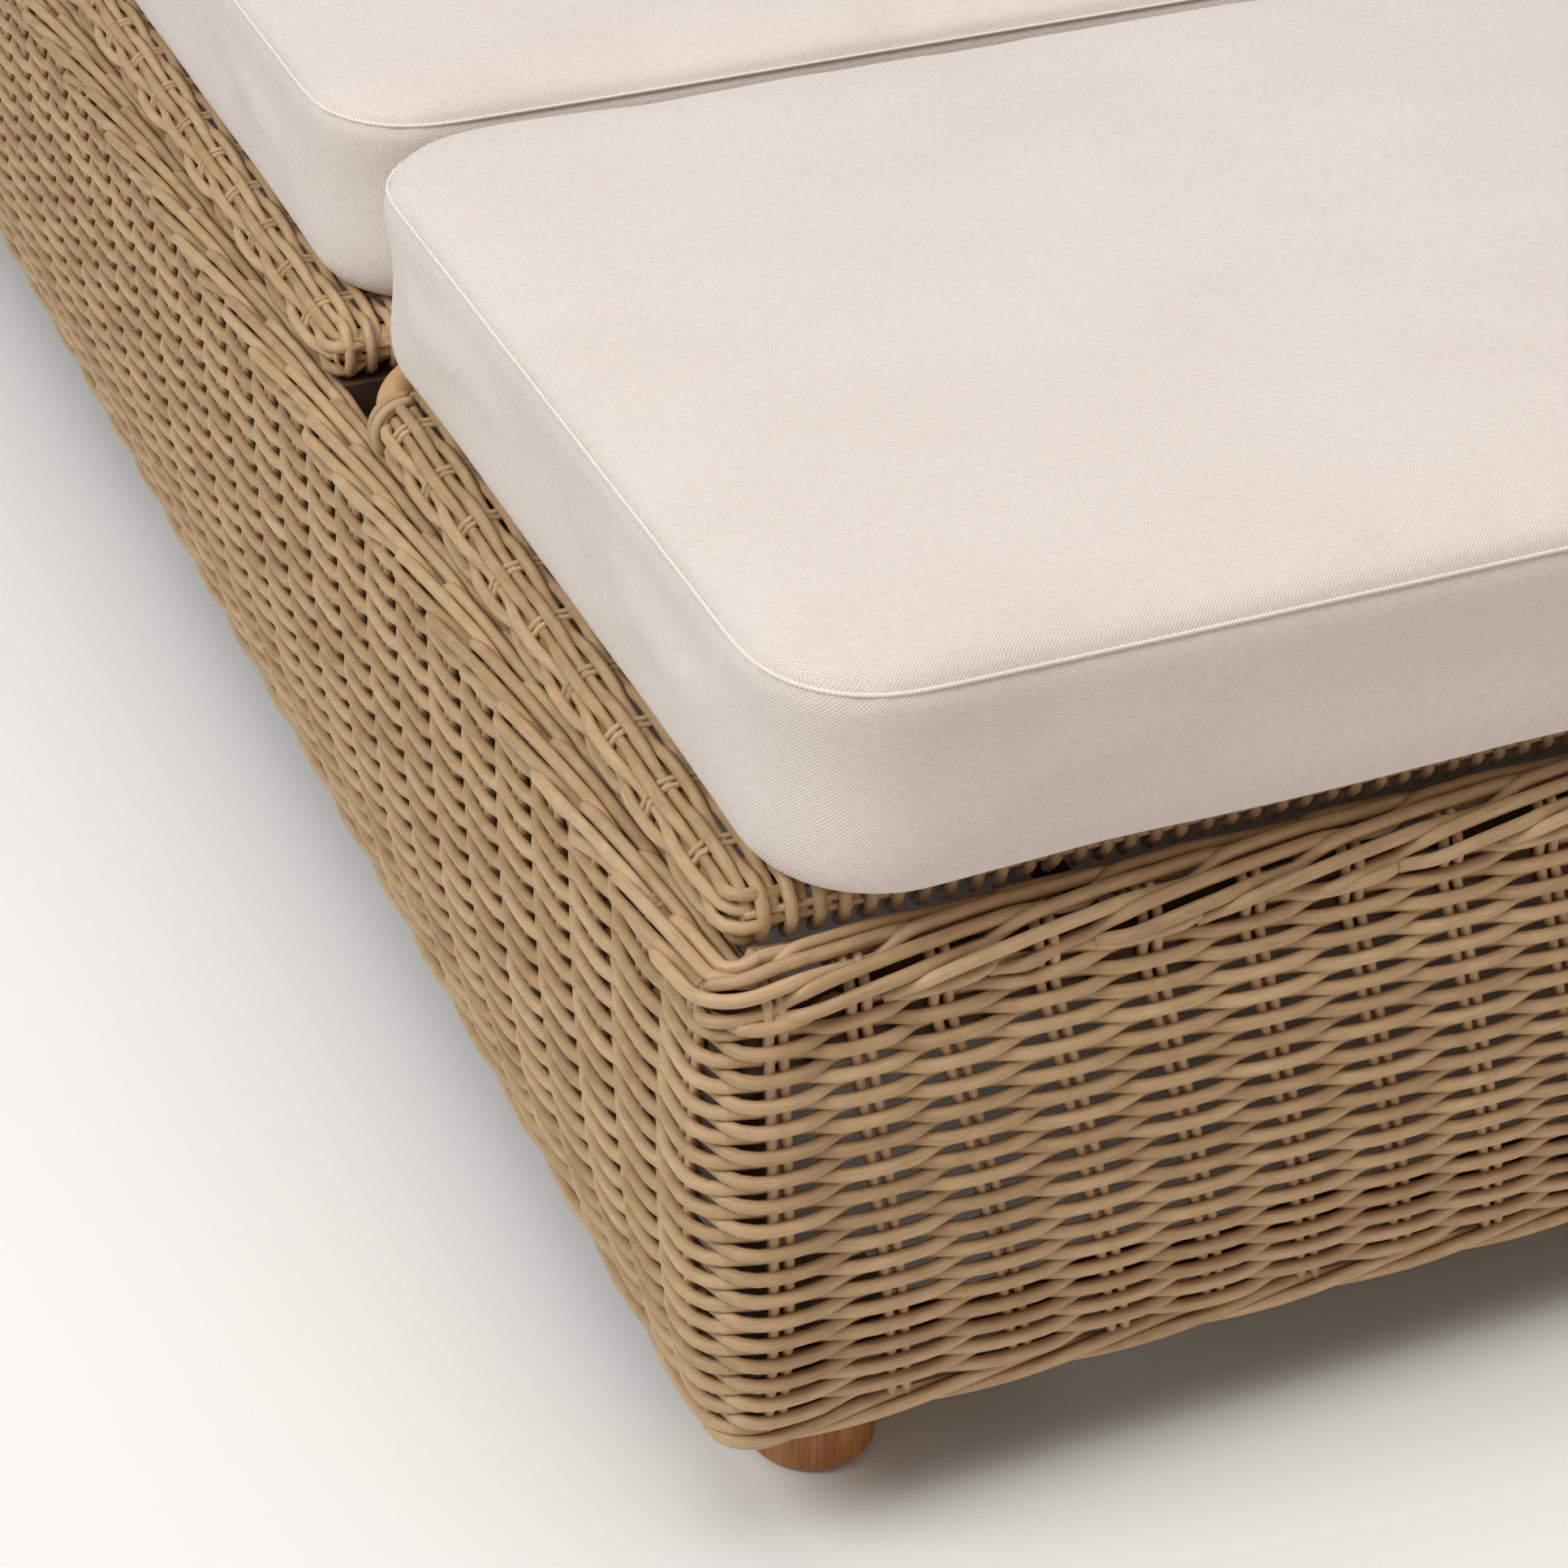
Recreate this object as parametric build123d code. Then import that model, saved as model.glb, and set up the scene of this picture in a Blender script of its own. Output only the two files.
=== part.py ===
from build123d import *
from math import atan2, cos, degrees, radians, sin, sqrt
import os

# A double chaise lounger: a woven base on short round wooden legs carries two lanes side by side.
# Each lane has three woven panels that lie on the base's rim: a leg panel that tilts up about its
# bare rear rail, a fixed seat panel, and a back panel that reclines about its bare front rail.
# A folding prop under each moving panel stands on two notched racks. Boxed cushions lie on top.
# X is the width, -Y the foot end, +Z up. The origin is on the floor, under the middle.
# "out" sizes are measured outwards from the line through the leg centres.

# Legs
LEG_SPAN_X = 1290.0
LEG_SPAN_Y = 1840.0
LEG_DIAMETER = 60.0
LEG_FOOT_ROUND = 5.0
GLIDE_DIAMETER = 48.0
GLIDE_THICKNESS = 4.0
GLIDE_STAND_OFF = 1.5
STUD_DIAMETER = 10.0
STUD_DEPTH = 40.0
LEG_PLATE_SIZE = 92.0
LEG_PLATE_THICKNESS = 4.0
LEG_PLATE_OUT = 56.0
LEG_PLATE_CORNER = 12.0

# Heights above the floor
BASE_UNDERSIDE = 78.0
TOP_RAIL_UNDERSIDE = 268.0
RIM_HEIGHT = 312.0

# Base frame of rectangular aluminium tube
RAIL_WIDTH = 18.0
RAIL_HEIGHT = 30.0
RAIL_OUT = 50.0
TUBE_WALL = 1.5
CORNER_POST_DIAMETER = 20.0
CORNER_POST_OUT = 54.0
CROSS_BEAM_WIDTH = 30.0
CROSS_BEAM_HEIGHT = 30.0
CENTRE_BEAM_WIDTH = 30.0

# Woven skirt and its borders
CORNER_AXIS_OUT = 46.0
SKIRT_TOP_OUT = 74.0
SKIRT_BELLY_OUT = 84.0
SKIRT_FOOT_OUT = 75.0
SKIRT_BELLY_HEIGHT = 160.0
SKIRT_FOOT_HEIGHT = 80.0
BORDER_LOWER_EDGE = 282.0
BORDER_SHOULDER = 290.0
BORDER_INNER_SHOULDER = 303.0
BORDER_CROWN_OUT = 59.0
FOOT_BORDER_DIAMETER = 14.0
FOOT_BORDER_OUT = 64.0

# Panels
PANEL_THICKNESS = 28.0
PANEL_SIDE_OUT = 58.0
PANEL_END_OUT = 37.0
PANEL_CENTRE_GAP = 12.0
PANEL_GAP = 6.0
PANEL_CORNER = 24.0
PANEL_EDGE_ROUND = 9.0
PANEL_RIM = 28.0
PANEL_TUBE_DIAMETER = 18.0
PANEL_BEND = 56.0
DECK_THICKNESS = 8.0
DECK_STEP_IN = 25.0
DECK_RAIL_GAP = 16.0
DECK_WIDE_START = 62.0
CROSS_TUBE_INSET = 3.0
DECK_INNER_CORNER = 38.0
WEAVE_BAR_DIAMETER = 12.0
WEAVE_BAR_INSET = 26.0
LEG_PANEL_LENGTH = 516.0
BACK_PANEL_LENGTH = 759.0
SEAT_BEARER_WIDTH = 25.0
SEAT_BEARER_HEIGHT = 28.0
SEAT_SCREW_SPREAD = 200.0
SEAT_SCREW_DIAMETER = 5.0
SEAT_SCREW_HEAD = 10.0
SEAT_SCREW_HEAD_HEIGHT = 3.0
SEAT_SCREW_REACH = 4.0

# Hinge clips on the bare rails
CLIP_SPREAD = 230.0
CLIP_THICKNESS = 8.0
CLIP_RING_DIAMETER = 28.0
CLIP_FLANGE_LENGTH = 40.0
CLIP_FLANGE_THICKNESS = 4.0
HINGE_BEAM_SET_BACK = 45.0
CLIP_HEEL = 8.0
CLIP_THROAT_REACH = 16.0
CLIP_THROAT_DROP = 17.0
CLIP_SCREW_DIAMETER = 6.0
CLIP_SCREW_HEAD = 11.0
CLIP_SCREW_HEAD_HEIGHT = 4.0
CLIP_SCREW_LENGTH = 16.0
CLIP_SCREW_SPREAD = 12.0

# Props and racks
PIVOT_DROP = 20.0
PIVOT_DIAMETER = 14.0
PIVOT_TAB_THICKNESS = 4.0
PIVOT_TAB_WIDTH = 20.0
LEG_PROP_END_GAP = 5.0
BACK_PROP_END_GAP = 48.0
LEG_ANGLES = (14.0, 22.0, 30.0)
BACK_ANGLES = (20.0, 28.0, 36.0, 44.0, 50.0, 55.0)
PROP_ARM_SPREAD = 150.0
PROP_ARM_THICKNESS = 6.0
PROP_ARM_HEIGHT = 10.0
PROP_EYE_DIAMETER = 24.0
PROP_FOOT_DIAMETER = 10.0
COLLAR_DIAMETER = 20.0
COLLAR_WIDTH = 6.0
RACK_SPREAD = 190.0
RACK_THICKNESS = 5.0
RACK_LOW_EDGE = 276.0
RACK_NOTCH_DEPTH = 7.0
RACK_NOTCH_HALF_WIDTH = 6.5
RACK_END = 11.0
RACK_SCREW_DIAMETER = 5.0
RACK_SCREW_HEAD = 9.0
RACK_SCREW_HEAD_HEIGHT = 3.0
RACK_SCREW_LENGTH = 12.0
RACK_SCREW_INSET = 9.0

# Cushions
CUSHION_SIDE_OUT = 48.0
CUSHION_END_OUT = 85.0
CUSHION_GAP = 6.0
CUSHION_THICKNESS = 108.0
CUSHION_CROWN = 9.0
CUSHION_CORNER = 62.0
CUSHION_PULL = 6.0
CUSHION_TUCK = 12.0
CUSHION_SIDE_SHARES = ((0.0, 1.0), (0.04, 0.5), (0.12, 0.17), (0.5, 0.0), (0.88, 0.12), (1.0, 0.33))
CUSHION_CROWN_SHARES = ((0.45, 0.09), (0.8, 0.27), (1.0, 0.68))

# Clearances and overruns
TOUCH_GAP = 0.3
RUNNING_GAP = 0.05
SIDE_GAP = 0.5
CUT_OVERRUN = 5.0

# Places worked out from the sizes above
LEG_X = LEG_SPAN_X / 2
LEG_Y = LEG_SPAN_Y / 2
RIM_CONTACT = RIM_HEIGHT - TOUCH_GAP
PANEL_TOP = RIM_HEIGHT + PANEL_THICKNESS
HINGE_HEIGHT = RIM_HEIGHT + PANEL_THICKNESS / 2
TUBE_RADIUS = PANEL_TUBE_DIAMETER / 2
PANEL_OUTER_X = LEG_X + PANEL_SIDE_OUT
PANEL_INNER_X = PANEL_CENTRE_GAP / 2
PANEL_WIDTH = PANEL_OUTER_X - PANEL_INNER_X
LANE_X = (PANEL_OUTER_X + PANEL_INNER_X) / 2
PANEL_END_Y = LEG_Y + PANEL_END_OUT
LEG_HINGE_Y = -PANEL_END_Y + LEG_PANEL_LENGTH - TUBE_RADIUS
BACK_HINGE_Y = PANEL_END_Y - BACK_PANEL_LENGTH + TUBE_RADIUS
SEAT_FRONT_Y = LEG_HINGE_Y + TUBE_RADIUS + PANEL_GAP
SEAT_REAR_Y = BACK_HINGE_Y - TUBE_RADIUS - PANEL_GAP
CROSS_BEAM_UNDERSIDE = TOP_RAIL_UNDERSIDE - CROSS_BEAM_HEIGHT
RAIL_INNER_X = LEG_X + RAIL_OUT
RAIL_INNER_Y = LEG_Y + RAIL_OUT
CORNER_AXIS_X = LEG_X + CORNER_AXIS_OUT
CORNER_AXIS_Y = LEG_Y + CORNER_AXIS_OUT
PIVOT_HEIGHT = HINGE_HEIGHT - PIVOT_DROP
RACK_TIP = HINGE_HEIGHT - PROP_FOOT_DIAMETER / 2 - TOUCH_GAP


def save(name, *solids):
    """Write one sub-part, made of one or more separate solids."""
    found = [solid for shape in solids for solid in shape.solids()]
    shape = found[0] if len(found) == 1 else Compound(children=found)
    export_step(shape, f"parts/{name}.step")


def block(x0, x1, y0, y1, z0, z1):
    """A box between six planes."""
    box = Box(x1 - x0, y1 - y0, z1 - z0, align=(Align.MIN, Align.MIN, Align.MIN))
    return Pos(x0, y0, z0) * box


def rounded_plate(x0, x1, y0, y1, corner, z0, z1):
    """A flat plate with rounded corners in plan."""
    outline = RectangleRounded(x1 - x0, y1 - y0, corner)
    return Pos((x0 + x1) / 2, (y0 + y1) / 2, z0) * extrude(outline, z1 - z0)


def rod(radius, start, end):
    """A round bar from one point to another."""
    run = Vector(*end) - Vector(*start)
    plane = Plane(origin=start, z_dir=run)
    return extrude(plane * Circle(radius), run.length, dir=run.normalized())


def hollow_block(x0, x1, y0, y1, z0, z1, along):
    """A rectangular tube whose bore runs along X, Y or Z."""
    wall = {axis: TUBE_WALL for axis in "XYZ"}
    wall[along] = -CUT_OVERRUN
    bore = block(
        x0 + wall["X"], x1 - wall["X"],
        y0 + wall["Y"], y1 - wall["Y"],
        z0 + wall["Z"], z1 - wall["Z"],
    )
    return block(x0, x1, y0, y1, z0, z1) - bore


def screw(head_diameter, head_height, diameter, length, place, direction):
    """A screw whose head rests on the place and whose shank points along the direction."""
    start = Vector(*place)
    along = Vector(*direction).normalized()
    head_top = start - along * head_height
    tip = start + along * length
    head = rod(head_diameter / 2, tuple(head_top), tuple(start))
    return head + rod(diameter / 2, tuple(head_top), tuple(tip))


def main_piece(shape, tools):
    """Take the tools out of a shape and keep its largest solid each time."""
    for tool in tools:
        shape = max((shape - tool).solids(), key=lambda piece: piece.volume)
    return shape


def cut_away(shapes, tools):
    """Take the tools out of every shape."""
    return [main_piece(shape, tools) for shape in shapes]


def outward(out):
    """Distance of a size from the vertical axis that the base's corners turn about."""
    return out - CORNER_AXIS_OUT


# Base: four sides that meet on the corner diagonals


def side_piece(section, half_length, line):
    """One side from a section, with an eighth turn at each end."""
    plane = Plane(origin=(half_length, -line, 0), x_dir=(0, -1, 0), z_dir=(-1, 0, 0))
    face = plane * section
    straight = extrude(face, 2 * half_length, dir=(-1, 0, 0))
    turn = revolve(face, Axis((half_length, -line, 0), (0, 0, 1)), revolution_arc=45)
    return straight + turn + mirror(turn, about=Plane.YZ)


def four_sides(name, section):
    """The front, rear, left and right pieces of one band of the base."""
    across = side_piece(section, CORNER_AXIS_X, CORNER_AXIS_Y)
    along = side_piece(section, CORNER_AXIS_Y, CORNER_AXIS_X)
    save(f"{name}_front", across)
    save(f"{name}_rear", Rot(0, 0, 180) * across)
    save(f"{name}_right", Rot(0, 0, 90) * along)
    save(f"{name}_left", Rot(0, 0, -90) * along)


def rail_section(underside):
    """A rectangular tube's ring-shaped section."""
    middle_out = outward(RAIL_OUT + RAIL_WIDTH / 2)
    place = Pos(middle_out, underside + RAIL_HEIGHT / 2)
    hole = Rectangle(RAIL_WIDTH - 2 * TUBE_WALL, RAIL_HEIGHT - 2 * TUBE_WALL)
    return place * (Rectangle(RAIL_WIDTH, RAIL_HEIGHT) - hole)


def skirt_section():
    """The woven wall: upright inside against the frame, bellied outside."""
    inner = outward(RAIL_OUT + RAIL_WIDTH + TOUCH_GAP)
    top = (outward(SKIRT_TOP_OUT), BORDER_LOWER_EDGE)
    belly = (outward(SKIRT_BELLY_OUT), SKIRT_BELLY_HEIGHT)
    foot = (outward(SKIRT_FOOT_OUT), SKIRT_FOOT_HEIGHT)
    face_line = ThreePointArc(top, belly, foot)
    inside = Polyline(foot, (inner, SKIRT_FOOT_HEIGHT), (inner, BORDER_LOWER_EDGE), top)
    return make_face(face_line + inside)


def top_border_section():
    """The braided roll that laps over the top rail."""
    inner = outward(RAIL_OUT)
    outer = outward(SKIRT_TOP_OUT)
    rail_out = outward(RAIL_OUT + RAIL_WIDTH + TOUCH_GAP)
    rail_top = TOP_RAIL_UNDERSIDE + RAIL_HEIGHT + TOUCH_GAP
    crown = (outward(BORDER_CROWN_OUT), RIM_CONTACT)
    roll = ThreePointArc((inner, BORDER_INNER_SHOULDER), crown, (outer, BORDER_SHOULDER))
    rest = Polyline(
        (outer, BORDER_SHOULDER),
        (outer, BORDER_LOWER_EDGE),
        (rail_out, BORDER_LOWER_EDGE),
        (rail_out, rail_top),
        (inner, rail_top),
        (inner, BORDER_INNER_SHOULDER),
    )
    return make_face(roll + rest)


def foot_border_section():
    """The twisted rope under the frame's lower edge."""
    middle = BASE_UNDERSIDE - TOUCH_GAP - FOOT_BORDER_DIAMETER / 2
    return Pos(outward(FOOT_BORDER_OUT), middle) * Circle(FOOT_BORDER_DIAMETER / 2)


def make_base_sides():
    four_sides("skirt", skirt_section())
    four_sides("top_border", top_border_section())
    four_sides("foot_border", foot_border_section())
    four_sides("top_rail", rail_section(TOP_RAIL_UNDERSIDE))
    four_sides("bottom_rail", rail_section(BASE_UNDERSIDE))


# Inner frame

POST_FOOT = BASE_UNDERSIDE + RAIL_HEIGHT
LEG_BEAM_Y = LEG_HINGE_Y - HINGE_BEAM_SET_BACK - CROSS_BEAM_WIDTH / 2
BACK_BEAM_Y = BACK_HINGE_Y + HINGE_BEAM_SET_BACK + CROSS_BEAM_WIDTH / 2


def make_posts():
    corner = []
    for x_side in (-1, 1):
        for y_side in (-1, 1):
            x = x_side * (LEG_X + CORNER_POST_OUT)
            y = y_side * (LEG_Y + CORNER_POST_OUT)
            outer = rod(CORNER_POST_DIAMETER / 2, (x, y, POST_FOOT), (x, y, TOP_RAIL_UNDERSIDE))
            bore = rod(
                CORNER_POST_DIAMETER / 2 - TUBE_WALL,
                (x, y, POST_FOOT - CUT_OVERRUN),
                (x, y, TOP_RAIL_UNDERSIDE + CUT_OVERRUN),
            )
            corner.append(outer - bore)
    save("corner_posts", *corner)

    half = RAIL_WIDTH / 2
    places = []
    for side in (-1, 1):
        middle = side * (RAIL_INNER_X + half)
        places += [(middle, LEG_BEAM_Y), (middle, 0), (middle, BACK_BEAM_Y)]
        places += [(0, side * (RAIL_INNER_Y + half))]
    posts = [
        hollow_block(x - half, x + half, y - half, y + half, POST_FOOT, TOP_RAIL_UNDERSIDE, "Z")
        for x, y in places
    ]
    posts.append(hollow_block(-half, half, -half, half, POST_FOOT, TOP_RAIL_UNDERSIDE, "Z"))
    save("side_posts", *posts)


def make_beams():
    half = CENTRE_BEAM_WIDTH / 2
    rail_top = TOP_RAIL_UNDERSIDE + RAIL_HEIGHT
    save("centre_beam", hollow_block(
        -half, half, -RAIL_INNER_Y, RAIL_INNER_Y, TOP_RAIL_UNDERSIDE, rail_top, "Y"))
    save("centre_runner", block(
        -half, half, -RAIL_INNER_Y, RAIL_INNER_Y, rail_top, RIM_CONTACT))
    half = CROSS_BEAM_WIDTH / 2
    beams = [
        hollow_block(
            -RAIL_INNER_X, RAIL_INNER_X, y - half, y + half,
            CROSS_BEAM_UNDERSIDE, TOP_RAIL_UNDERSIDE, "X")
        for y in (LEG_BEAM_Y, BACK_BEAM_Y)
    ]
    save("hinge_beams", *cut_away(beams, all_clip_screws()))
    save("bottom_cross_rail", hollow_block(
        -RAIL_INNER_X, RAIL_INNER_X, -half, half, BASE_UNDERSIDE, POST_FOOT, "X"))


# Legs


def leg_places():
    """Leg centres: the four corners, the two long sides' middles and the base's middle."""
    corners = [(x * LEG_X, y * LEG_Y) for x in (-1, 1) for y in (-1, 1)]
    return [*corners, (-LEG_X, 0), (LEG_X, 0), (0, 0)]


def leg(x, y):
    top = BASE_UNDERSIDE - LEG_PLATE_THICKNESS
    body = rod(LEG_DIAMETER / 2, (x, y, GLIDE_STAND_OFF), (x, y, top))
    foot_edge = body.edges().filter_by(GeomType.CIRCLE).sort_by(Axis.Z)[0]
    body = fillet(foot_edge, LEG_FOOT_ROUND)
    recess = rod(
        GLIDE_DIAMETER / 2 + TOUCH_GAP,
        (x, y, GLIDE_STAND_OFF - CUT_OVERRUN), (x, y, GLIDE_THICKNESS))
    hole = rod(
        STUD_DIAMETER / 2 + RUNNING_GAP,
        (x, y, top - STUD_DEPTH), (x, y, top + CUT_OVERRUN))
    return body - recess - hole


def leg_plate(x, y):
    half = LEG_PLATE_SIZE / 2
    reach = LEG_PLATE_OUT - half
    middle_x = x + (reach if x > 0 else -reach if x < 0 else 0)
    middle_y = y + (reach if y > 0 else -reach if y < 0 else 0)
    low = BASE_UNDERSIDE - LEG_PLATE_THICKNESS
    plate = rounded_plate(
        middle_x - half, middle_x + half, middle_y - half, middle_y + half,
        LEG_PLATE_CORNER, low, BASE_UNDERSIDE)
    hole = rod(
        STUD_DIAMETER / 2 + RUNNING_GAP, (x, y, low - CUT_OVERRUN), (x, y, BASE_UNDERSIDE + CUT_OVERRUN))
    return plate - hole


def make_legs():
    places = leg_places()
    low = BASE_UNDERSIDE - LEG_PLATE_THICKNESS - STUD_DEPTH
    save("legs", *[leg(x, y) for x, y in places])
    save("leg_plates", *[leg_plate(x, y) for x, y in places])
    save("leg_studs", *[
        rod(STUD_DIAMETER / 2, (x, y, low), (x, y, BASE_UNDERSIDE)) for x, y in places])
    save("leg_glides", *[
        rod(GLIDE_DIAMETER / 2, (x, y, 0), (x, y, GLIDE_THICKNESS)) for x, y in places])


# Panels. A moving panel is worked out from its hinge rail: "reach" is the distance from the
# hinge axis towards the panel's free end, and "way" is -1 for the leg panel, 1 for the back panel.


class Lane:
    """The two long edges of one lane, on one side of the middle."""

    def __init__(self, side):
        self.name = "left" if side < 0 else "right"
        self.middle = side * LANE_X
        self.low = self.middle - PANEL_WIDTH / 2
        self.high = self.middle + PANEL_WIDTH / 2


class Tilt:
    """The sizes of one moving panel and its prop."""

    def __init__(self, name, way, hinge_y, length, prop_end_gap, angles):
        self.name = name
        self.way = way
        self.hinge_y = hinge_y
        self.free_reach = length - TUBE_RADIUS
        rim_reach = self.free_reach - PANEL_RIM - TUBE_RADIUS
        foot_reach = rim_reach - prop_end_gap - PROP_FOOT_DIAMETER / 2
        pivot_reach = foot_reach / 2
        self.pivot_reach = pivot_reach
        self.angles = angles
        self.prop_length = sqrt(pivot_reach ** 2 + PIVOT_DROP ** 2)
        self.drop_angle = degrees(atan2(PIVOT_DROP, pivot_reach))

    def y(self, reach):
        return self.hinge_y + self.way * reach

    def foot_reach(self, angle):
        """How far the prop's foot stands from the hinge axis at a panel angle."""
        return 2 * self.prop_length * cos(radians(angle - self.drop_angle))

    def span(self, reach_a, reach_b):
        """The two Y values of a stretch, low one first."""
        return sorted((self.y(reach_a), self.y(reach_b)))


LANES = (Lane(-1), Lane(1))
LEG_TILT = Tilt("leg", -1, LEG_HINGE_Y, LEG_PANEL_LENGTH, LEG_PROP_END_GAP, LEG_ANGLES)
BACK_TILT = Tilt("back", 1, BACK_HINGE_Y, BACK_PANEL_LENGTH, BACK_PROP_END_GAP, BACK_ANGLES)
TILTS = (LEG_TILT, BACK_TILT)


def soften(plate, size):
    """Round the plate's long edges, above and below."""
    edges = plate.edges().filter_by(Plane.XY)
    return fillet(edges, size)


def tube_path(tilt, lane):
    """Centre line of the bent tube: up one side, across the bare rail, down the other."""
    inset = PANEL_RIM / 2
    x0, x1 = lane.low + inset, lane.high - inset
    end = tilt.free_reach - inset
    points = [
        (x0, tilt.y(end), HINGE_HEIGHT),
        (x0, tilt.y(0), HINGE_HEIGHT),
        (x1, tilt.y(0), HINGE_HEIGHT),
        (x1, tilt.y(end), HINGE_HEIGHT),
    ]
    return FilletPolyline(*points, radius=PANEL_BEND)


def along_path(path, radius):
    start = path @ 0
    plane = Plane(origin=start, z_dir=path % 0)
    return sweep(plane * Circle(radius), path=path)


def bent_tube(tilt, lane):
    path = tube_path(tilt, lane)
    plane = Plane(origin=path @ 0, z_dir=path % 0)
    ring = Circle(TUBE_RADIUS) - Circle(TUBE_RADIUS - TUBE_WALL)
    return sweep(plane * ring, path=path)


def cross_tube(x0, x1, y, z, radius, wall):
    outer = rod(radius, (x0, y, z), (x1, y, z))
    return outer - rod(radius - wall, (x0 - CUT_OVERRUN, y, z), (x1 + CUT_OVERRUN, y, z))


def pivot_bar(tilt, lane):
    """The round bar that the prop swings on, with a collar each side of each prop arm."""
    y = tilt.y(tilt.pivot_reach)
    half_length = (PANEL_WIDTH - PANEL_RIM - PIVOT_TAB_THICKNESS) / 2
    x0, x1 = lane.middle - half_length, lane.middle + half_length
    bar = rod(PIVOT_DIAMETER / 2, (x0, y, PIVOT_HEIGHT), (x1, y, PIVOT_HEIGHT))
    near = PROP_ARM_THICKNESS / 2 + SIDE_GAP
    for arm in (-1, 1):
        for side in (-1, 1):
            middle = lane.middle + arm * PROP_ARM_SPREAD
            a = middle + side * near
            b = middle + side * (near + COLLAR_WIDTH)
            bar += rod(COLLAR_DIAMETER / 2, (a, y, PIVOT_HEIGHT), (b, y, PIVOT_HEIGHT))
    return bar


def pivot_tabs(tilt, lane, grow):
    """Two plates that hang the pivot bar from the side tubes; grow widens them for a slot."""
    y = tilt.y(tilt.pivot_reach)
    half_y = PIVOT_TAB_WIDTH / 2 + grow
    half_x = PIVOT_TAB_THICKNESS / 2 + grow
    low = PIVOT_HEIGHT - PIVOT_TAB_WIDTH / 2
    top = HINGE_HEIGHT - TUBE_RADIUS / 2
    tabs = []
    for side in (-1, 1):
        x = lane.middle + side * (PANEL_WIDTH - PANEL_RIM) / 2
        tabs.append(block(x - half_x, x + half_x, y - half_y, y + half_y, low, top))
    return tabs


def tilt_frame(tilt, lane):
    """Bent tube, end rail, weaving bar and pivot bar with its two tabs."""
    bent = bent_tube(tilt, lane)
    solid_bent = along_path(tube_path(tilt, lane), TUBE_RADIUS)
    inset = PANEL_RIM / 2
    x0, x1 = lane.low + inset, lane.high - inset
    end_y = tilt.y(tilt.free_reach - inset - TUBE_RADIUS)
    end_rail = cross_tube(
        x0 + CROSS_TUBE_INSET, x1 - CROSS_TUBE_INSET, end_y, HINGE_HEIGHT,
        TUBE_RADIUS, TUBE_WALL) - solid_bent
    bar_y = tilt.y(WEAVE_BAR_INSET)
    bar_inset = 2 * CROSS_TUBE_INSET
    bar = cross_tube(
        x0 + bar_inset, x1 - bar_inset, bar_y, HINGE_HEIGHT,
        WEAVE_BAR_DIAMETER / 2, TUBE_WALL) - solid_bent
    tabs = [tab - solid_bent for tab in pivot_tabs(tilt, lane, 0)]
    pivot = pivot_bar(tilt, lane)
    return [bent, *tube_middles(end_rail), *tube_middles(bar), pivot, *tabs]


def tube_middles(shape):
    """The one long piece that is left of a tube after its ends are coped."""
    return [max(shape.solids(), key=lambda piece: piece.volume)]


def tilt_deck(tilt, lane):
    """The woven deck of a moving panel: a thin sheet with a rim wrapped round three tubes."""
    y0, y1 = tilt.span(DECK_WIDE_START, tilt.free_reach)
    wide = rounded_plate(lane.low, lane.high, y0, y1, PANEL_CORNER, RIM_HEIGHT, PANEL_TOP)
    wide = soften(wide, PANEL_EDGE_ROUND)
    y0, y1 = tilt.span(DECK_RAIL_GAP, tilt.free_reach / 2)
    narrow = rounded_plate(
        lane.low + DECK_STEP_IN, lane.high - DECK_STEP_IN, y0, y1,
        DECK_INNER_CORNER, RIM_HEIGHT, PANEL_TOP)
    deck = wide + narrow
    rim_y0, rim_y1 = tilt.span(
        DECK_RAIL_GAP + WEAVE_BAR_INSET, tilt.free_reach - PANEL_RIM - TUBE_RADIUS)
    hollow = block(
        lane.low + PANEL_RIM, lane.high - PANEL_RIM, rim_y0, rim_y1,
        RIM_HEIGHT - CUT_OVERRUN, PANEL_TOP - DECK_THICKNESS)
    inset = PANEL_RIM / 2
    x0, x1 = lane.low + inset, lane.high - inset
    end_y = tilt.y(tilt.free_reach - inset - TUBE_RADIUS)
    bar_y = tilt.y(WEAVE_BAR_INSET)
    end_bore = rod(
        TUBE_RADIUS + TOUCH_GAP,
        (x0 + CROSS_TUBE_INSET, end_y, HINGE_HEIGHT), (x1 - CROSS_TUBE_INSET, end_y, HINGE_HEIGHT))
    bar_inset = 2 * CROSS_TUBE_INSET
    bar_bore = rod(
        WEAVE_BAR_DIAMETER / 2 + TOUCH_GAP,
        (x0 + bar_inset, bar_y, HINGE_HEIGHT), (x1 - bar_inset, bar_y, HINGE_HEIGHT))
    bent_bore = along_path(tube_path(tilt, lane), TUBE_RADIUS + TOUCH_GAP)
    pivot_y = tilt.y(tilt.pivot_reach)
    notch = rod(
        PIVOT_DIAMETER / 2 + TOUCH_GAP, (x0, pivot_y, PIVOT_HEIGHT), (x1, pivot_y, PIVOT_HEIGHT))
    slots = pivot_tabs(tilt, lane, TOUCH_GAP)
    tools = [*slots, notch, hollow, end_bore, bar_bore, bent_bore]
    return main_piece(deck, tools)


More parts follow.
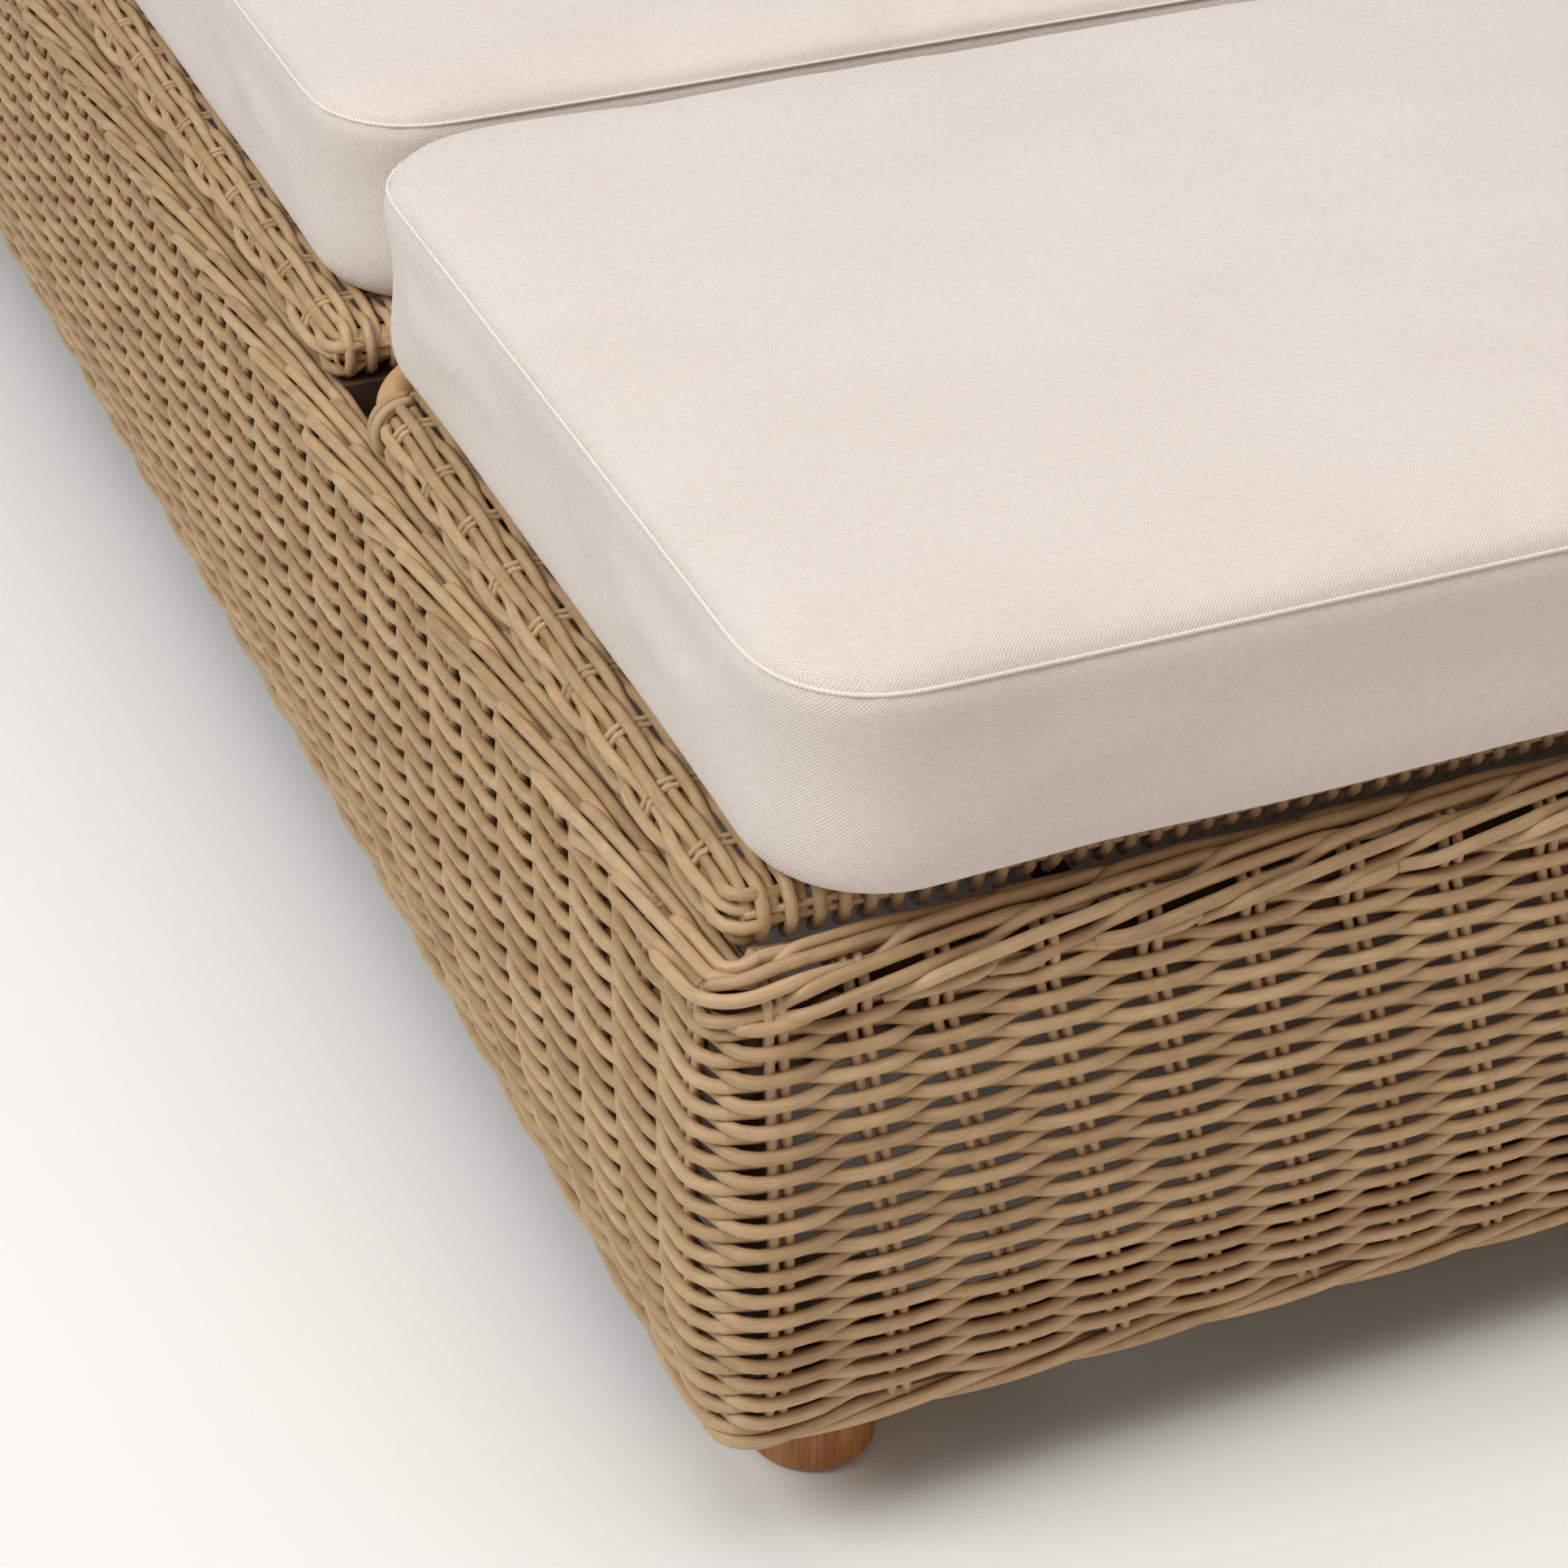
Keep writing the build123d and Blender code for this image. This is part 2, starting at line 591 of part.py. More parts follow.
def prop(tilt, lane):
    """Two arms with eyes on the pivot bar, and the foot bar that stands on the racks."""
    pivot_y, foot_y = tilt.y(tilt.pivot_reach), tilt.y(2 * tilt.pivot_reach)
    run = Vector(0, foot_y - pivot_y, HINGE_HEIGHT - PIVOT_HEIGHT)
    arms = []
    foot_x = RACK_SPREAD
    foot = rod(
        PROP_FOOT_DIAMETER / 2,
        (lane.middle - foot_x, foot_y, HINGE_HEIGHT), (lane.middle + foot_x, foot_y, HINGE_HEIGHT))
    for side in (-1, 1):
        x = lane.middle + side * PROP_ARM_SPREAD
        half = PROP_ARM_THICKNESS / 2
        plane = Plane(origin=(x - half, pivot_y, PIVOT_HEIGHT), x_dir=run, z_dir=(1, 0, 0))
        bar = Pos(run.length / 2, 0) * Rectangle(run.length, PROP_ARM_HEIGHT)
        end = Pos(run.length, 0) * Circle(PROP_ARM_HEIGHT / 2)
        shape = bar + end + Circle(PROP_EYE_DIAMETER / 2) - Circle(PIVOT_DIAMETER / 2 + RUNNING_GAP)
        arms.append(extrude(plane * shape, PROP_ARM_THICKNESS, dir=(1, 0, 0)) - foot)
    return [*arms, foot]


def rack_rail_y(tilt):
    """The stretch between the hinge beam's middle and the base's end rail."""
    beam = LEG_BEAM_Y if tilt is LEG_TILT else BACK_BEAM_Y
    return sorted((beam, tilt.way * RAIL_INNER_Y))


def racks(tilt, lane):
    """Two notched plates, one on the inner face of each rack rail."""
    reaches = [tilt.foot_reach(angle) for angle in tilt.angles]
    first, last = min(reaches) - RACK_END, max(reaches) + RACK_END
    made = []
    for side in (-1, 1):
        face = lane.middle + side * (RACK_SPREAD - RAIL_WIDTH / 2)
        x0, x1 = sorted((face, face - side * RACK_THICKNESS))
        y0, y1 = tilt.span(first, last)
        plate = block(x0, x1, y0, y1, RACK_LOW_EDGE, RACK_TIP)
        for reach in reaches:
            y = tilt.y(reach)
            vee = Polyline(
                (y - RACK_NOTCH_HALF_WIDTH, RACK_TIP), (y, RACK_TIP - RACK_NOTCH_DEPTH),
                (y + RACK_NOTCH_HALF_WIDTH, RACK_TIP), (y, RACK_TIP + CUT_OVERRUN),
                close=True)
            plane = Plane(origin=(x0 - CUT_OVERRUN, 0, 0), x_dir=(0, 1, 0), z_dir=(1, 0, 0))
            cut = extrude(plane * make_face(vee), RACK_THICKNESS + 2 * CUT_OVERRUN, dir=(1, 0, 0))
            plate -= cut
        made.append(plate)
    return made


def rack_screws(tilt, lane):
    reaches = [tilt.foot_reach(angle) for angle in tilt.angles]
    ends = (min(reaches) - RACK_END + RACK_SCREW_INSET, max(reaches) + RACK_END - RACK_SCREW_INSET)
    z = RACK_LOW_EDGE + RACK_SCREW_INSET
    made = []
    for side in (-1, 1):
        face = lane.middle + side * (RACK_SPREAD - RAIL_WIDTH / 2 - RACK_THICKNESS)
        for reach in ends:
            made.append(screw(
                RACK_SCREW_HEAD, RACK_SCREW_HEAD_HEIGHT, RACK_SCREW_DIAMETER, RACK_SCREW_LENGTH,
                (face, tilt.y(reach), z), (side, 0, 0)))
    return made


def clip(tilt, x):
    """A hinge clip: a ring round the bare rail, an arm and a flange on the hinge beam."""
    near = HINGE_BEAM_SET_BACK
    far = HINGE_BEAM_SET_BACK + CROSS_BEAM_WIDTH
    half = CLIP_THICKNESS / 2
    ring_radius = CLIP_RING_DIAMETER / 2
    low = TOP_RAIL_UNDERSIDE - HINGE_HEIGHT
    plane = Plane(
        origin=(x + half * tilt.way, tilt.hinge_y, HINGE_HEIGHT),
        x_dir=(0, tilt.way, 0), z_dir=(tilt.way, 0, 0))
    underside = -sqrt(ring_radius ** 2 - CLIP_HEEL ** 2)
    arm = make_face(Polyline(
        (near, low), (-CLIP_HEEL, underside), (CLIP_HEEL, underside),
        (CLIP_THROAT_REACH, -CLIP_THROAT_DROP), (far, low + CLIP_FLANGE_THICKNESS), (far, low),
        close=True))
    shape = arm + Circle(ring_radius) - Circle(TUBE_RADIUS + RUNNING_GAP)
    body = extrude(plane * shape, -CLIP_THICKNESS)
    y0, y1 = tilt.span(near, far)
    half_flange = CLIP_FLANGE_LENGTH / 2
    body += block(
        x - half_flange, x + half_flange, y0, y1,
        TOP_RAIL_UNDERSIDE, TOP_RAIL_UNDERSIDE + CLIP_FLANGE_THICKNESS)
    return body


def clip_screws(tilt, x):
    z = TOP_RAIL_UNDERSIDE + CLIP_FLANGE_THICKNESS
    y = tilt.y(HINGE_BEAM_SET_BACK + CROSS_BEAM_WIDTH / 2)
    return [
        screw(
            CLIP_SCREW_HEAD, CLIP_SCREW_HEAD_HEIGHT, CLIP_SCREW_DIAMETER, CLIP_SCREW_LENGTH,
            (x + side * CLIP_SCREW_SPREAD, y, z), (0, 0, -1))
        for side in (-1, 1)
    ]


def clip_places():
    """Each hinge clip's panel and its place along the width."""
    return [
        (tilt, lane.middle + side * CLIP_SPREAD)
        for tilt in TILTS for lane in LANES for side in (-1, 1)
    ]


def all_clip_screws():
    return [one for tilt, x in clip_places() for one in clip_screws(tilt, x)]


def make_tilts():
    """The moving panels, their props, and what holds them on the base."""
    plates, all_rack_rails, all_rack_screws = [], [], []
    for tilt in TILTS:
        for lane in LANES:
            save(f"{tilt.name}_frame_{lane.name}", *tilt_frame(tilt, lane))
            save(f"{tilt.name}_deck_{lane.name}", tilt_deck(tilt, lane))
            save(f"{tilt.name}_prop_{lane.name}", *prop(tilt, lane))
            screws = rack_screws(tilt, lane)
            all_rack_screws += screws
            plates += cut_away(racks(tilt, lane), screws)
            y0, y1 = rack_rail_y(tilt)
            for side in (-1, 1):
                x = lane.middle + side * RACK_SPREAD
                rail = hollow_block(
                    x - RAIL_WIDTH / 2, x + RAIL_WIDTH / 2, y0, y1,
                    TOP_RAIL_UNDERSIDE, TOP_RAIL_UNDERSIDE + RAIL_HEIGHT, "Y")
                all_rack_rails += cut_away([rail], screws)
    save("racks", *plates)
    save("rack_rails", *all_rack_rails)
    save("rack_screws", *all_rack_screws)
    save("hinge_clips", *[
        main_piece(clip(tilt, x), clip_screws(tilt, x)) for tilt, x in clip_places()])
    save("clip_screws", *all_clip_screws())


# Seat panels, fixed on two bearers each


def seat_tubes(lane):
    """Four straight tubes: two long ones, with two short ones between them."""
    inset = PANEL_RIM / 2
    x0, x1 = lane.low + inset, lane.high - inset
    y0, y1 = SEAT_FRONT_Y + inset, SEAT_REAR_Y - inset
    sides = []
    for x in (x0, x1):
        start, end = (x, y0 - TUBE_RADIUS, HINGE_HEIGHT), (x, y1 + TUBE_RADIUS, HINGE_HEIGHT)
        sides.append((rod(TUBE_RADIUS, start, end), x))
    tubes = [
        solid - rod(
            TUBE_RADIUS - TUBE_WALL,
            (x, y0 - TUBE_RADIUS - CUT_OVERRUN, HINGE_HEIGHT),
            (x, y1 + TUBE_RADIUS + CUT_OVERRUN, HINGE_HEIGHT))
        for solid, x in sides
    ]
    for y in (y0, y1):
        short = cross_tube(
            x0 + CROSS_TUBE_INSET, x1 - CROSS_TUBE_INSET, y, HINGE_HEIGHT,
            TUBE_RADIUS, TUBE_WALL)
        for solid, _ in sides:
            short -= solid
        tubes += tube_middles(short)
    return tubes


def seat_deck(lane, screws):
    """The woven deck of a seat panel, with its screw holes."""
    plate = rounded_plate(
        lane.low, lane.high, SEAT_FRONT_Y, SEAT_REAR_Y, PANEL_CORNER, RIM_HEIGHT, PANEL_TOP)
    hollow = block(
        lane.low + PANEL_RIM, lane.high - PANEL_RIM,
        SEAT_FRONT_Y + PANEL_RIM, SEAT_REAR_Y - PANEL_RIM,
        RIM_HEIGHT - CUT_OVERRUN, PANEL_TOP - DECK_THICKNESS)
    inset = PANEL_RIM / 2
    x0, x1 = lane.low + inset, lane.high - inset
    y0, y1 = SEAT_FRONT_Y + inset, SEAT_REAR_Y - inset
    clear = TUBE_RADIUS + TOUCH_GAP
    tools = [*screws, hollow]
    for y in (y0, y1):
        tools.append(rod(
            clear,
            (x0 + CROSS_TUBE_INSET, y, HINGE_HEIGHT), (x1 - CROSS_TUBE_INSET, y, HINGE_HEIGHT)))
    for x in (x0, x1):
        tools.append(rod(clear, (x, y0 - clear, HINGE_HEIGHT), (x, y1 + clear, HINGE_HEIGHT)))
    return main_piece(soften(plate, PANEL_EDGE_ROUND), tools)


def seat_screws(lane, y, low):
    """The screws that come up through one bearer into the short tube above it."""
    length = HINGE_HEIGHT - TUBE_RADIUS + SEAT_SCREW_REACH - low
    return [
        screw(
            SEAT_SCREW_HEAD, SEAT_SCREW_HEAD_HEIGHT, SEAT_SCREW_DIAMETER, length,
            (lane.middle + side * SEAT_SCREW_SPREAD, y, low), (0, 0, 1))
        for side in (-1, 1)
    ]


def make_seats():
    bearers, screws = [], []
    half = SEAT_BEARER_WIDTH / 2
    low = RIM_CONTACT - SEAT_BEARER_HEIGHT
    for lane in LANES:
        side = 1 if lane.middle > 0 else -1
        x0, x1 = sorted((side * CENTRE_BEAM_WIDTH / 2, side * RAIL_INNER_X))
        lane_screws = []
        for y in (SEAT_FRONT_Y + PANEL_RIM / 2, SEAT_REAR_Y - PANEL_RIM / 2):
            here = seat_screws(lane, y, low)
            bearer = hollow_block(x0, x1, y - half, y + half, low, RIM_CONTACT, "X")
            bearers.append(main_piece(bearer, here))
            lane_screws += here
        screws += lane_screws
        save(f"seat_frame_{lane.name}", *cut_away(seat_tubes(lane), lane_screws))
        save(f"seat_deck_{lane.name}", seat_deck(lane, lane_screws))
    save("seat_bearers", *bearers)
    save("seat_screws", *screws)


# Cushions


def cushion_level(x0, x1, y0, y1, inset, z):
    """One level of a cushion: round corners, and sides drawn in between them."""
    a0, a1, b0, b1 = x0 + inset, x1 - inset, y0 + inset, y1 - inset
    corner = CUSHION_CORNER
    bite = corner * (1 - sqrt(0.5))
    mid_x, mid_y = (a0 + a1) / 2, (b0 + b1) / 2
    pull = CUSHION_PULL
    edges = [
        ThreePointArc((a0 + corner, b0, z), (mid_x, b0 + pull, z), (a1 - corner, b0, z)),
        ThreePointArc((a1 - corner, b0, z), (a1 - bite, b0 + bite, z), (a1, b0 + corner, z)),
        ThreePointArc((a1, b0 + corner, z), (a1 - pull, mid_y, z), (a1, b1 - corner, z)),
        ThreePointArc((a1, b1 - corner, z), (a1 - bite, b1 - bite, z), (a1 - corner, b1, z)),
        ThreePointArc((a1 - corner, b1, z), (mid_x, b1 - pull, z), (a0 + corner, b1, z)),
        ThreePointArc((a0 + corner, b1, z), (a0 + bite, b1 - bite, z), (a0, b1 - corner, z)),
        ThreePointArc((a0, b1 - corner, z), (a0 + pull, mid_y, z), (a0, b0 + corner, z)),
        ThreePointArc((a0, b0 + corner, z), (a0 + bite, b0 + bite, z), (a0 + corner, b0, z)),
    ]
    return Face(Wire(edges))


def cushion(x0, x1, y0, y1):
    """A boxed cushion: full sides that turn under at the foot, and a crowned top."""
    floor = PANEL_TOP + TOUCH_GAP
    levels = []
    for height_share, tuck_share in CUSHION_SIDE_SHARES:
        z = floor + height_share * CUSHION_THICKNESS
        levels.append(cushion_level(x0, x1, y0, y1, tuck_share * CUSHION_TUCK, z))
    seam_inset = CUSHION_SIDE_SHARES[-1][1] * CUSHION_TUCK
    furthest = min(x1 - x0, y1 - y0) / 2 - seam_inset - CUSHION_CORNER
    for crown_share, reach_share in CUSHION_CROWN_SHARES:
        z = floor + CUSHION_THICKNESS + crown_share * CUSHION_CROWN
        levels.append(cushion_level(x0, x1, y0, y1, seam_inset + reach_share * furthest, z))
    return loft(levels, ruled=True)


def make_cushions():
    outer = LEG_X + CUSHION_SIDE_OUT
    inner = CUSHION_GAP / 2
    end = LEG_Y + CUSHION_END_OUT
    front_split = LEG_HINGE_Y + TUBE_RADIUS + PANEL_GAP / 2
    rear_split = BACK_HINGE_Y - TUBE_RADIUS - PANEL_GAP / 2
    half = CUSHION_GAP / 2
    rows = (
        ("leg", -end, front_split - half),
        ("seat", front_split + half, rear_split - half),
        ("back", rear_split + half, end),
    )
    for name, y0, y1 in rows:
        save(f"{name}_cushion_left", cushion(-outer, -inner, y0, y1))
        save(f"{name}_cushion_right", cushion(inner, outer, y0, y1))


os.makedirs("parts", exist_ok=True)
make_base_sides()
make_posts()
make_beams()
make_legs()
make_tilts()
make_seats()
make_cushions()
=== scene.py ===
import math

import bpy
import numpy as np
from bpy.props import FloatProperty, FloatVectorProperty, IntProperty, PointerProperty
from mathutils import Matrix, Vector
from mathutils.bvhtree import BVHTree
from mathutils.kdtree import KDTree


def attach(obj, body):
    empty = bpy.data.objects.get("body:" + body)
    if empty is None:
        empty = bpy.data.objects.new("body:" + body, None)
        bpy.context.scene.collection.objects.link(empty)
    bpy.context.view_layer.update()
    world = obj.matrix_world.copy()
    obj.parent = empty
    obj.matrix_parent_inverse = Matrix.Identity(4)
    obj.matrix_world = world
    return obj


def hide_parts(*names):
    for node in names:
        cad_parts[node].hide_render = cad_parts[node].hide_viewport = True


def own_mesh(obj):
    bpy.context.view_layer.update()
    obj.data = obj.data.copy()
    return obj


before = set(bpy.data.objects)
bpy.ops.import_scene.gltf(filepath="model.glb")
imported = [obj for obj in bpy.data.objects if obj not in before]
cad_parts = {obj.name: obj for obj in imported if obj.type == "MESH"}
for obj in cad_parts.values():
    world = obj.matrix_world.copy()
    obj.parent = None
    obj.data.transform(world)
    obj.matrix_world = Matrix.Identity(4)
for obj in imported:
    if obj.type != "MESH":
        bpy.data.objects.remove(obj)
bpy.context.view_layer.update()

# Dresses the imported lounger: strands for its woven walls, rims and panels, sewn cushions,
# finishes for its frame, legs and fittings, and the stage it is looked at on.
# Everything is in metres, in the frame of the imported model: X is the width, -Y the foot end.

bl_info = {
    "name": "Double chaise lounger",
    "version": (1, 0, 0),
    "blender": (4, 5, 0),
    "location": "View3D > Sidebar > Lounger",
    "description": "Builds the weave, cushions, finishes and stage of a double chaise lounger",
    "category": "Object",
}

# The base's wall. Stake pairs are counted round the base, from the front's left corner. By side, in the
# order of their names: the spaces between pairs, half the side's length, how far it is from the
# middle, and the number of its first pair. The lengths are those of the straight runs.
SIDE_NAMES = ("front", "right", "rear", "left")
CORNER_X = 0.691
CORNER_Y = 0.966
CORNER_OUT = 0.046
FRONT_SPACES = 29
LONG_SPACES = 40
SPACES = np.array([FRONT_SPACES, LONG_SPACES, FRONT_SPACES, LONG_SPACES])
HALF = np.array([CORNER_X, CORNER_Y, CORNER_X, CORNER_Y])
AWAY = np.array([CORNER_Y, CORNER_X, CORNER_Y, CORNER_X])
FIRST = np.concatenate(([0], np.cumsum(SPACES[:-1] + 1)))
ROUND = 2 * (FRONT_SPACES + LONG_SPACES + 2)
PAIR_SPACE = 2 * CORNER_X / FRONT_SPACES

# How many sides each kind of round strand has
STRAND_SIDES = 8
COVERED_SIDES = 5
STAKE_SIDES = 7
PANEL_STAKE_SIDES = 6
SEAM_SIDES = 6

# Skirt
SKIRT_LOW = 0.0835
SKIRT_ROWS = 35
SKIRT_ROW_SPACE = 0.0062
BELLY_OUT = 0.084
BELLY_HEIGHT = 0.160
FOOT_DRAW_IN = 0.009
FOOT_SPAN = 0.080
TOP_DRAW_IN = 0.0068
TOP_SPAN = 0.122
RAIL_FACE = 0.0687
SWING_LEAST = 0.0027
SWING_MOST = 0.0036
STAKE_LEAN = 0.215
LEAN_MIDDLE = 0.182
STAKE_SPREAD = 0.0034
STAKE_LOW = 0.068
STAKE_BEND = 0.284
STAKE_POINTS = 14
STAKE_DEEP = 0.0050
STAKE_ANGLES = np.radians((12, 35, 58, 80, 102, 124, 146, 160))
OVER_FLATNESS = 1.7
ROW_DRIFT = 0.0006
TONE_DRIFT = 0.5
SWING_DRIFT = 0.10
SWING_WAVES = (5, 17, 41)
SLOW_WAVES = (3, 7, 12, 19)
PHASE_MOST = 6.28

# The two top rows of the skirt rise over two pairs, then drop back
RIM_RISE = 0.0032
RIM_ROWS = 2
RIM_ROW_DROP_SHARE = 0.12

# Rim over the top rail. Pairs of values are for the long sides and for the two ends, where it is
# wider because it reaches in under the panels.
RIM_OUT = (0.0610, 0.0570)
RIM_HEIGHT = 0.291
RIM_HALF_WIDTH = (0.0150, 0.0190)
RIM_HALF_HEIGHT = (0.0195, 0.0245)
RIM_FROM = math.radians(6)
RIM_TURN = math.radians(158)
RIM_SPACES = 8
RIM_STEPS = 14
HIDDEN_CORNER = FIRST[2]
RIM_HOOK = 0.0050
RIM_DIVE = 0.0070
RIM_LIFT = 0.0012
RIM_WOBBLE = 0.0003
RIM_STRAND_SHARE = 0.98
RIM_ANGLES = 60
RIM_CUT_STEPS = 1.5
RIM_CUT_SPARE = 0.01
RIM_FEWEST_POINTS = 4

# When a rim strand hooks, dives and lifts, in pairs of stakes. RIM_LATE and RIM_BEGIN_SPAN count from
# where the strand begins, and the others from where it last came out.
RIM_LATE = 0.2
RIM_HOOK_SPAN = 0.16
RIM_DIVE_START, RIM_DIVE_SPAN = 2.15, 0.75
RIM_COME_OUT_SPAN = 0.32
RIM_BEGIN_SPAN = 0.22
RIM_LIFT_SPAN = 0.5
RIM_LAY_START, RIM_LAY_SPAN = 1.0, 0.8

# Rope under the skirt
ROPE_STEPS = 8
ROPE_OUT = 0.0675
ROPE_HEIGHT = 0.0725
ROPE_RADIUS = 0.0036
ROPE_TURNS = 34

# Panels
HINGE_HEIGHT = 0.326
LANE_X = {"left": -0.3545, "right": 0.3545}
LANE_HALF = 0.3485
TUBE_IN = 0.014
WRAP = 0.0115
PANEL_ROW_SPACE = 0.0059
PANEL_SWING = 0.0027
PANEL_PAIR_SPACE = 0.0485
PANEL_STAKE_SPREAD = 0.0026
PANEL_STAKE_RADIUS = 0.0019
WRAP_EDGE = 0.0172
BAR_REACH = 0.0315
SIDE_START = 0.060
LEG_HINGE_Y = -0.450
BACK_HINGE_Y = 0.207
LEG_REACH = 0.518
BACK_REACH = 0.761
SEAT_FRONT_Y = -0.435
SEAT_REAR_Y = 0.192

# Rows of a panel. A row over the flat hooks down over a tube, and one in the covered middle is coarser.
ROW_HOOK = 2.7 * WRAP
ROW_SPARE_POINTS = 12
CLOSE_STEPS = 7
COVERED_STEPS = 4
CLOSE_FROM = 0.22
FLAT_MARGIN = 0.002
SWING_UNEVEN = 0.1
ROW_WANDER = 0.0004
ROW_WAVE = 0.0005
ROW_WAVE_RATE = 23
ROW_PHASE_MOST = 6
BAR_HALF = 0.302
BAR_EDGE = 0.030
BAR_SWING_SHARE = 0.4
BAR_SWING_BEFORE = 0.01
BAR_SWING_SPAN = 0.03

# Rows round the side tubes, and how their free ends turn in round the corner
SIDE_STAGGER = 0.004
SIDE_TURN_IN = 0.020
SIDE_SPARE = 0.08
SIDE_TUCK = 0.0045
SIDE_TUCK_SPAN = 0.008
SIDE_SINK = 0.006
SIDE_SINK_SPAN = 0.009
SHEET_HALF_WRAPS = 2.9

# Pairs of stakes across a panel, and the two turns that bind the ends of its side rows
PAIR_WRAPS = 2.8
PAIR_BEND_POINTS = 9
PAIR_FLAT_POINTS = 13
PAIR_BENT_HALF = 0.338
PAIR_NEAREST = 0.030
PAIR_LAST_SPARE = 0.001
BINDINGS = ((0.0030, -0.003), (0.0034, 0.0035))
BINDING_FROM_WRAPS = -0.4
BINDING_TO_WRAPS = 3.0
BINDING_POINTS = 14
BINDING_SHARE = 0.9

# Cushions: heights and side edges of the covered foam, and by kind its front and rear edges
CUSHION_LOW = 0.3403
CUSHION_SEAM = 0.4483
CUSHION_TOP = 0.4573
CUSHION_INNER_X = 0.003
CUSHION_OUTER_X = 0.693
CUSHION_SPANS = {"leg": (-1.005, -0.441), "seat": (-0.435, 0.192), "back": (0.198, 1.005)}

# Rings of a cushion's shell: turns of the round under edge, shares of the height of the side, steps in
# and up at the seam, and shares of the outline on the two faces
UNDER_ROUND = 0.020
UNDER_TURNS = (0.0, 0.35, 0.70, 1.05, 1.35)
SIDE_TOP_GAP = 0.008
SIDE_SHARES = (0.12, 0.26, 0.40, 0.54, 0.68, 0.82, 0.94)
EDGE_STEPS = ((0.0004, -0.0045), (0.0016, -0.0012), (0.0040, 0.0006))
FACE_SHARES = (0.96, 0.90, 0.80, 0.66, 0.50, 0.34, 0.18)
CROWN_POWER = 3.2
OUTLINE_STEP = 0.012
CORNER_POINTS = 13

# How far a filled cushion may reach past its foam: outward, and towards its neighbours
SWELL_OUTWARD = 0.004
SWELL_INWARD = 0.001
FILL_FRAMES = 20

# Seam round the top of a cushion, and the cloth drawn in beside it
SEAM_AIM_DOWN = 0.9
SEAM_AIM_FROM = 0.04
SEAM_PROUD_SHARE = 0.1
SEAM_SMOOTHINGS = 3
DRAW_DEPTH = 0.0012
DRAW_REACH = 0.004
DRAW_DOWN = -0.08
DRAW_LOOK = 0.02
DRAW_SHARES = (0, 0.25, 0.5, 0.75)

# Camera, from its fit to the photograph
CAMERA_PLACE = (-1.2017, -2.2296, 1.2902)
CAMERA_HEADING = math.radians(-22.55)
CAMERA_TILT = math.radians(90 - 33.31)
CAMERA_LENS = 95.19
SENSOR = 36.0

# Stage
FLOOR_HALF = 14.0
LAMPS_AIM = Vector((0.0, -0.4, 0.25))

ROWS_SEED = 7
STAKES_SEED = 107
ROPES_SEED = 207
PANELS_SEED = 307
RIMS_SEED = 507


def linear(code):
    """Linear colour of an sRGB hex value such as B89B74."""
    values = [int(code[i:i + 2], 16) / 255 for i in (0, 2, 4)]
    return tuple(v / 12.92 if v <= 0.04045 else ((v + 0.055) / 1.055) ** 2.4 for v in values)


def smooth(x):
    """0 below 0, 1 above 1 and an even rise between."""
    x = np.clip(x, 0, 1)
    return x * x * (3 - 2 * x)


def new_object(name, data):
    """An object with this data, in the scene."""
    piece = bpy.data.objects.new(name, data)
    bpy.context.scene.collection.objects.link(piece)
    return piece


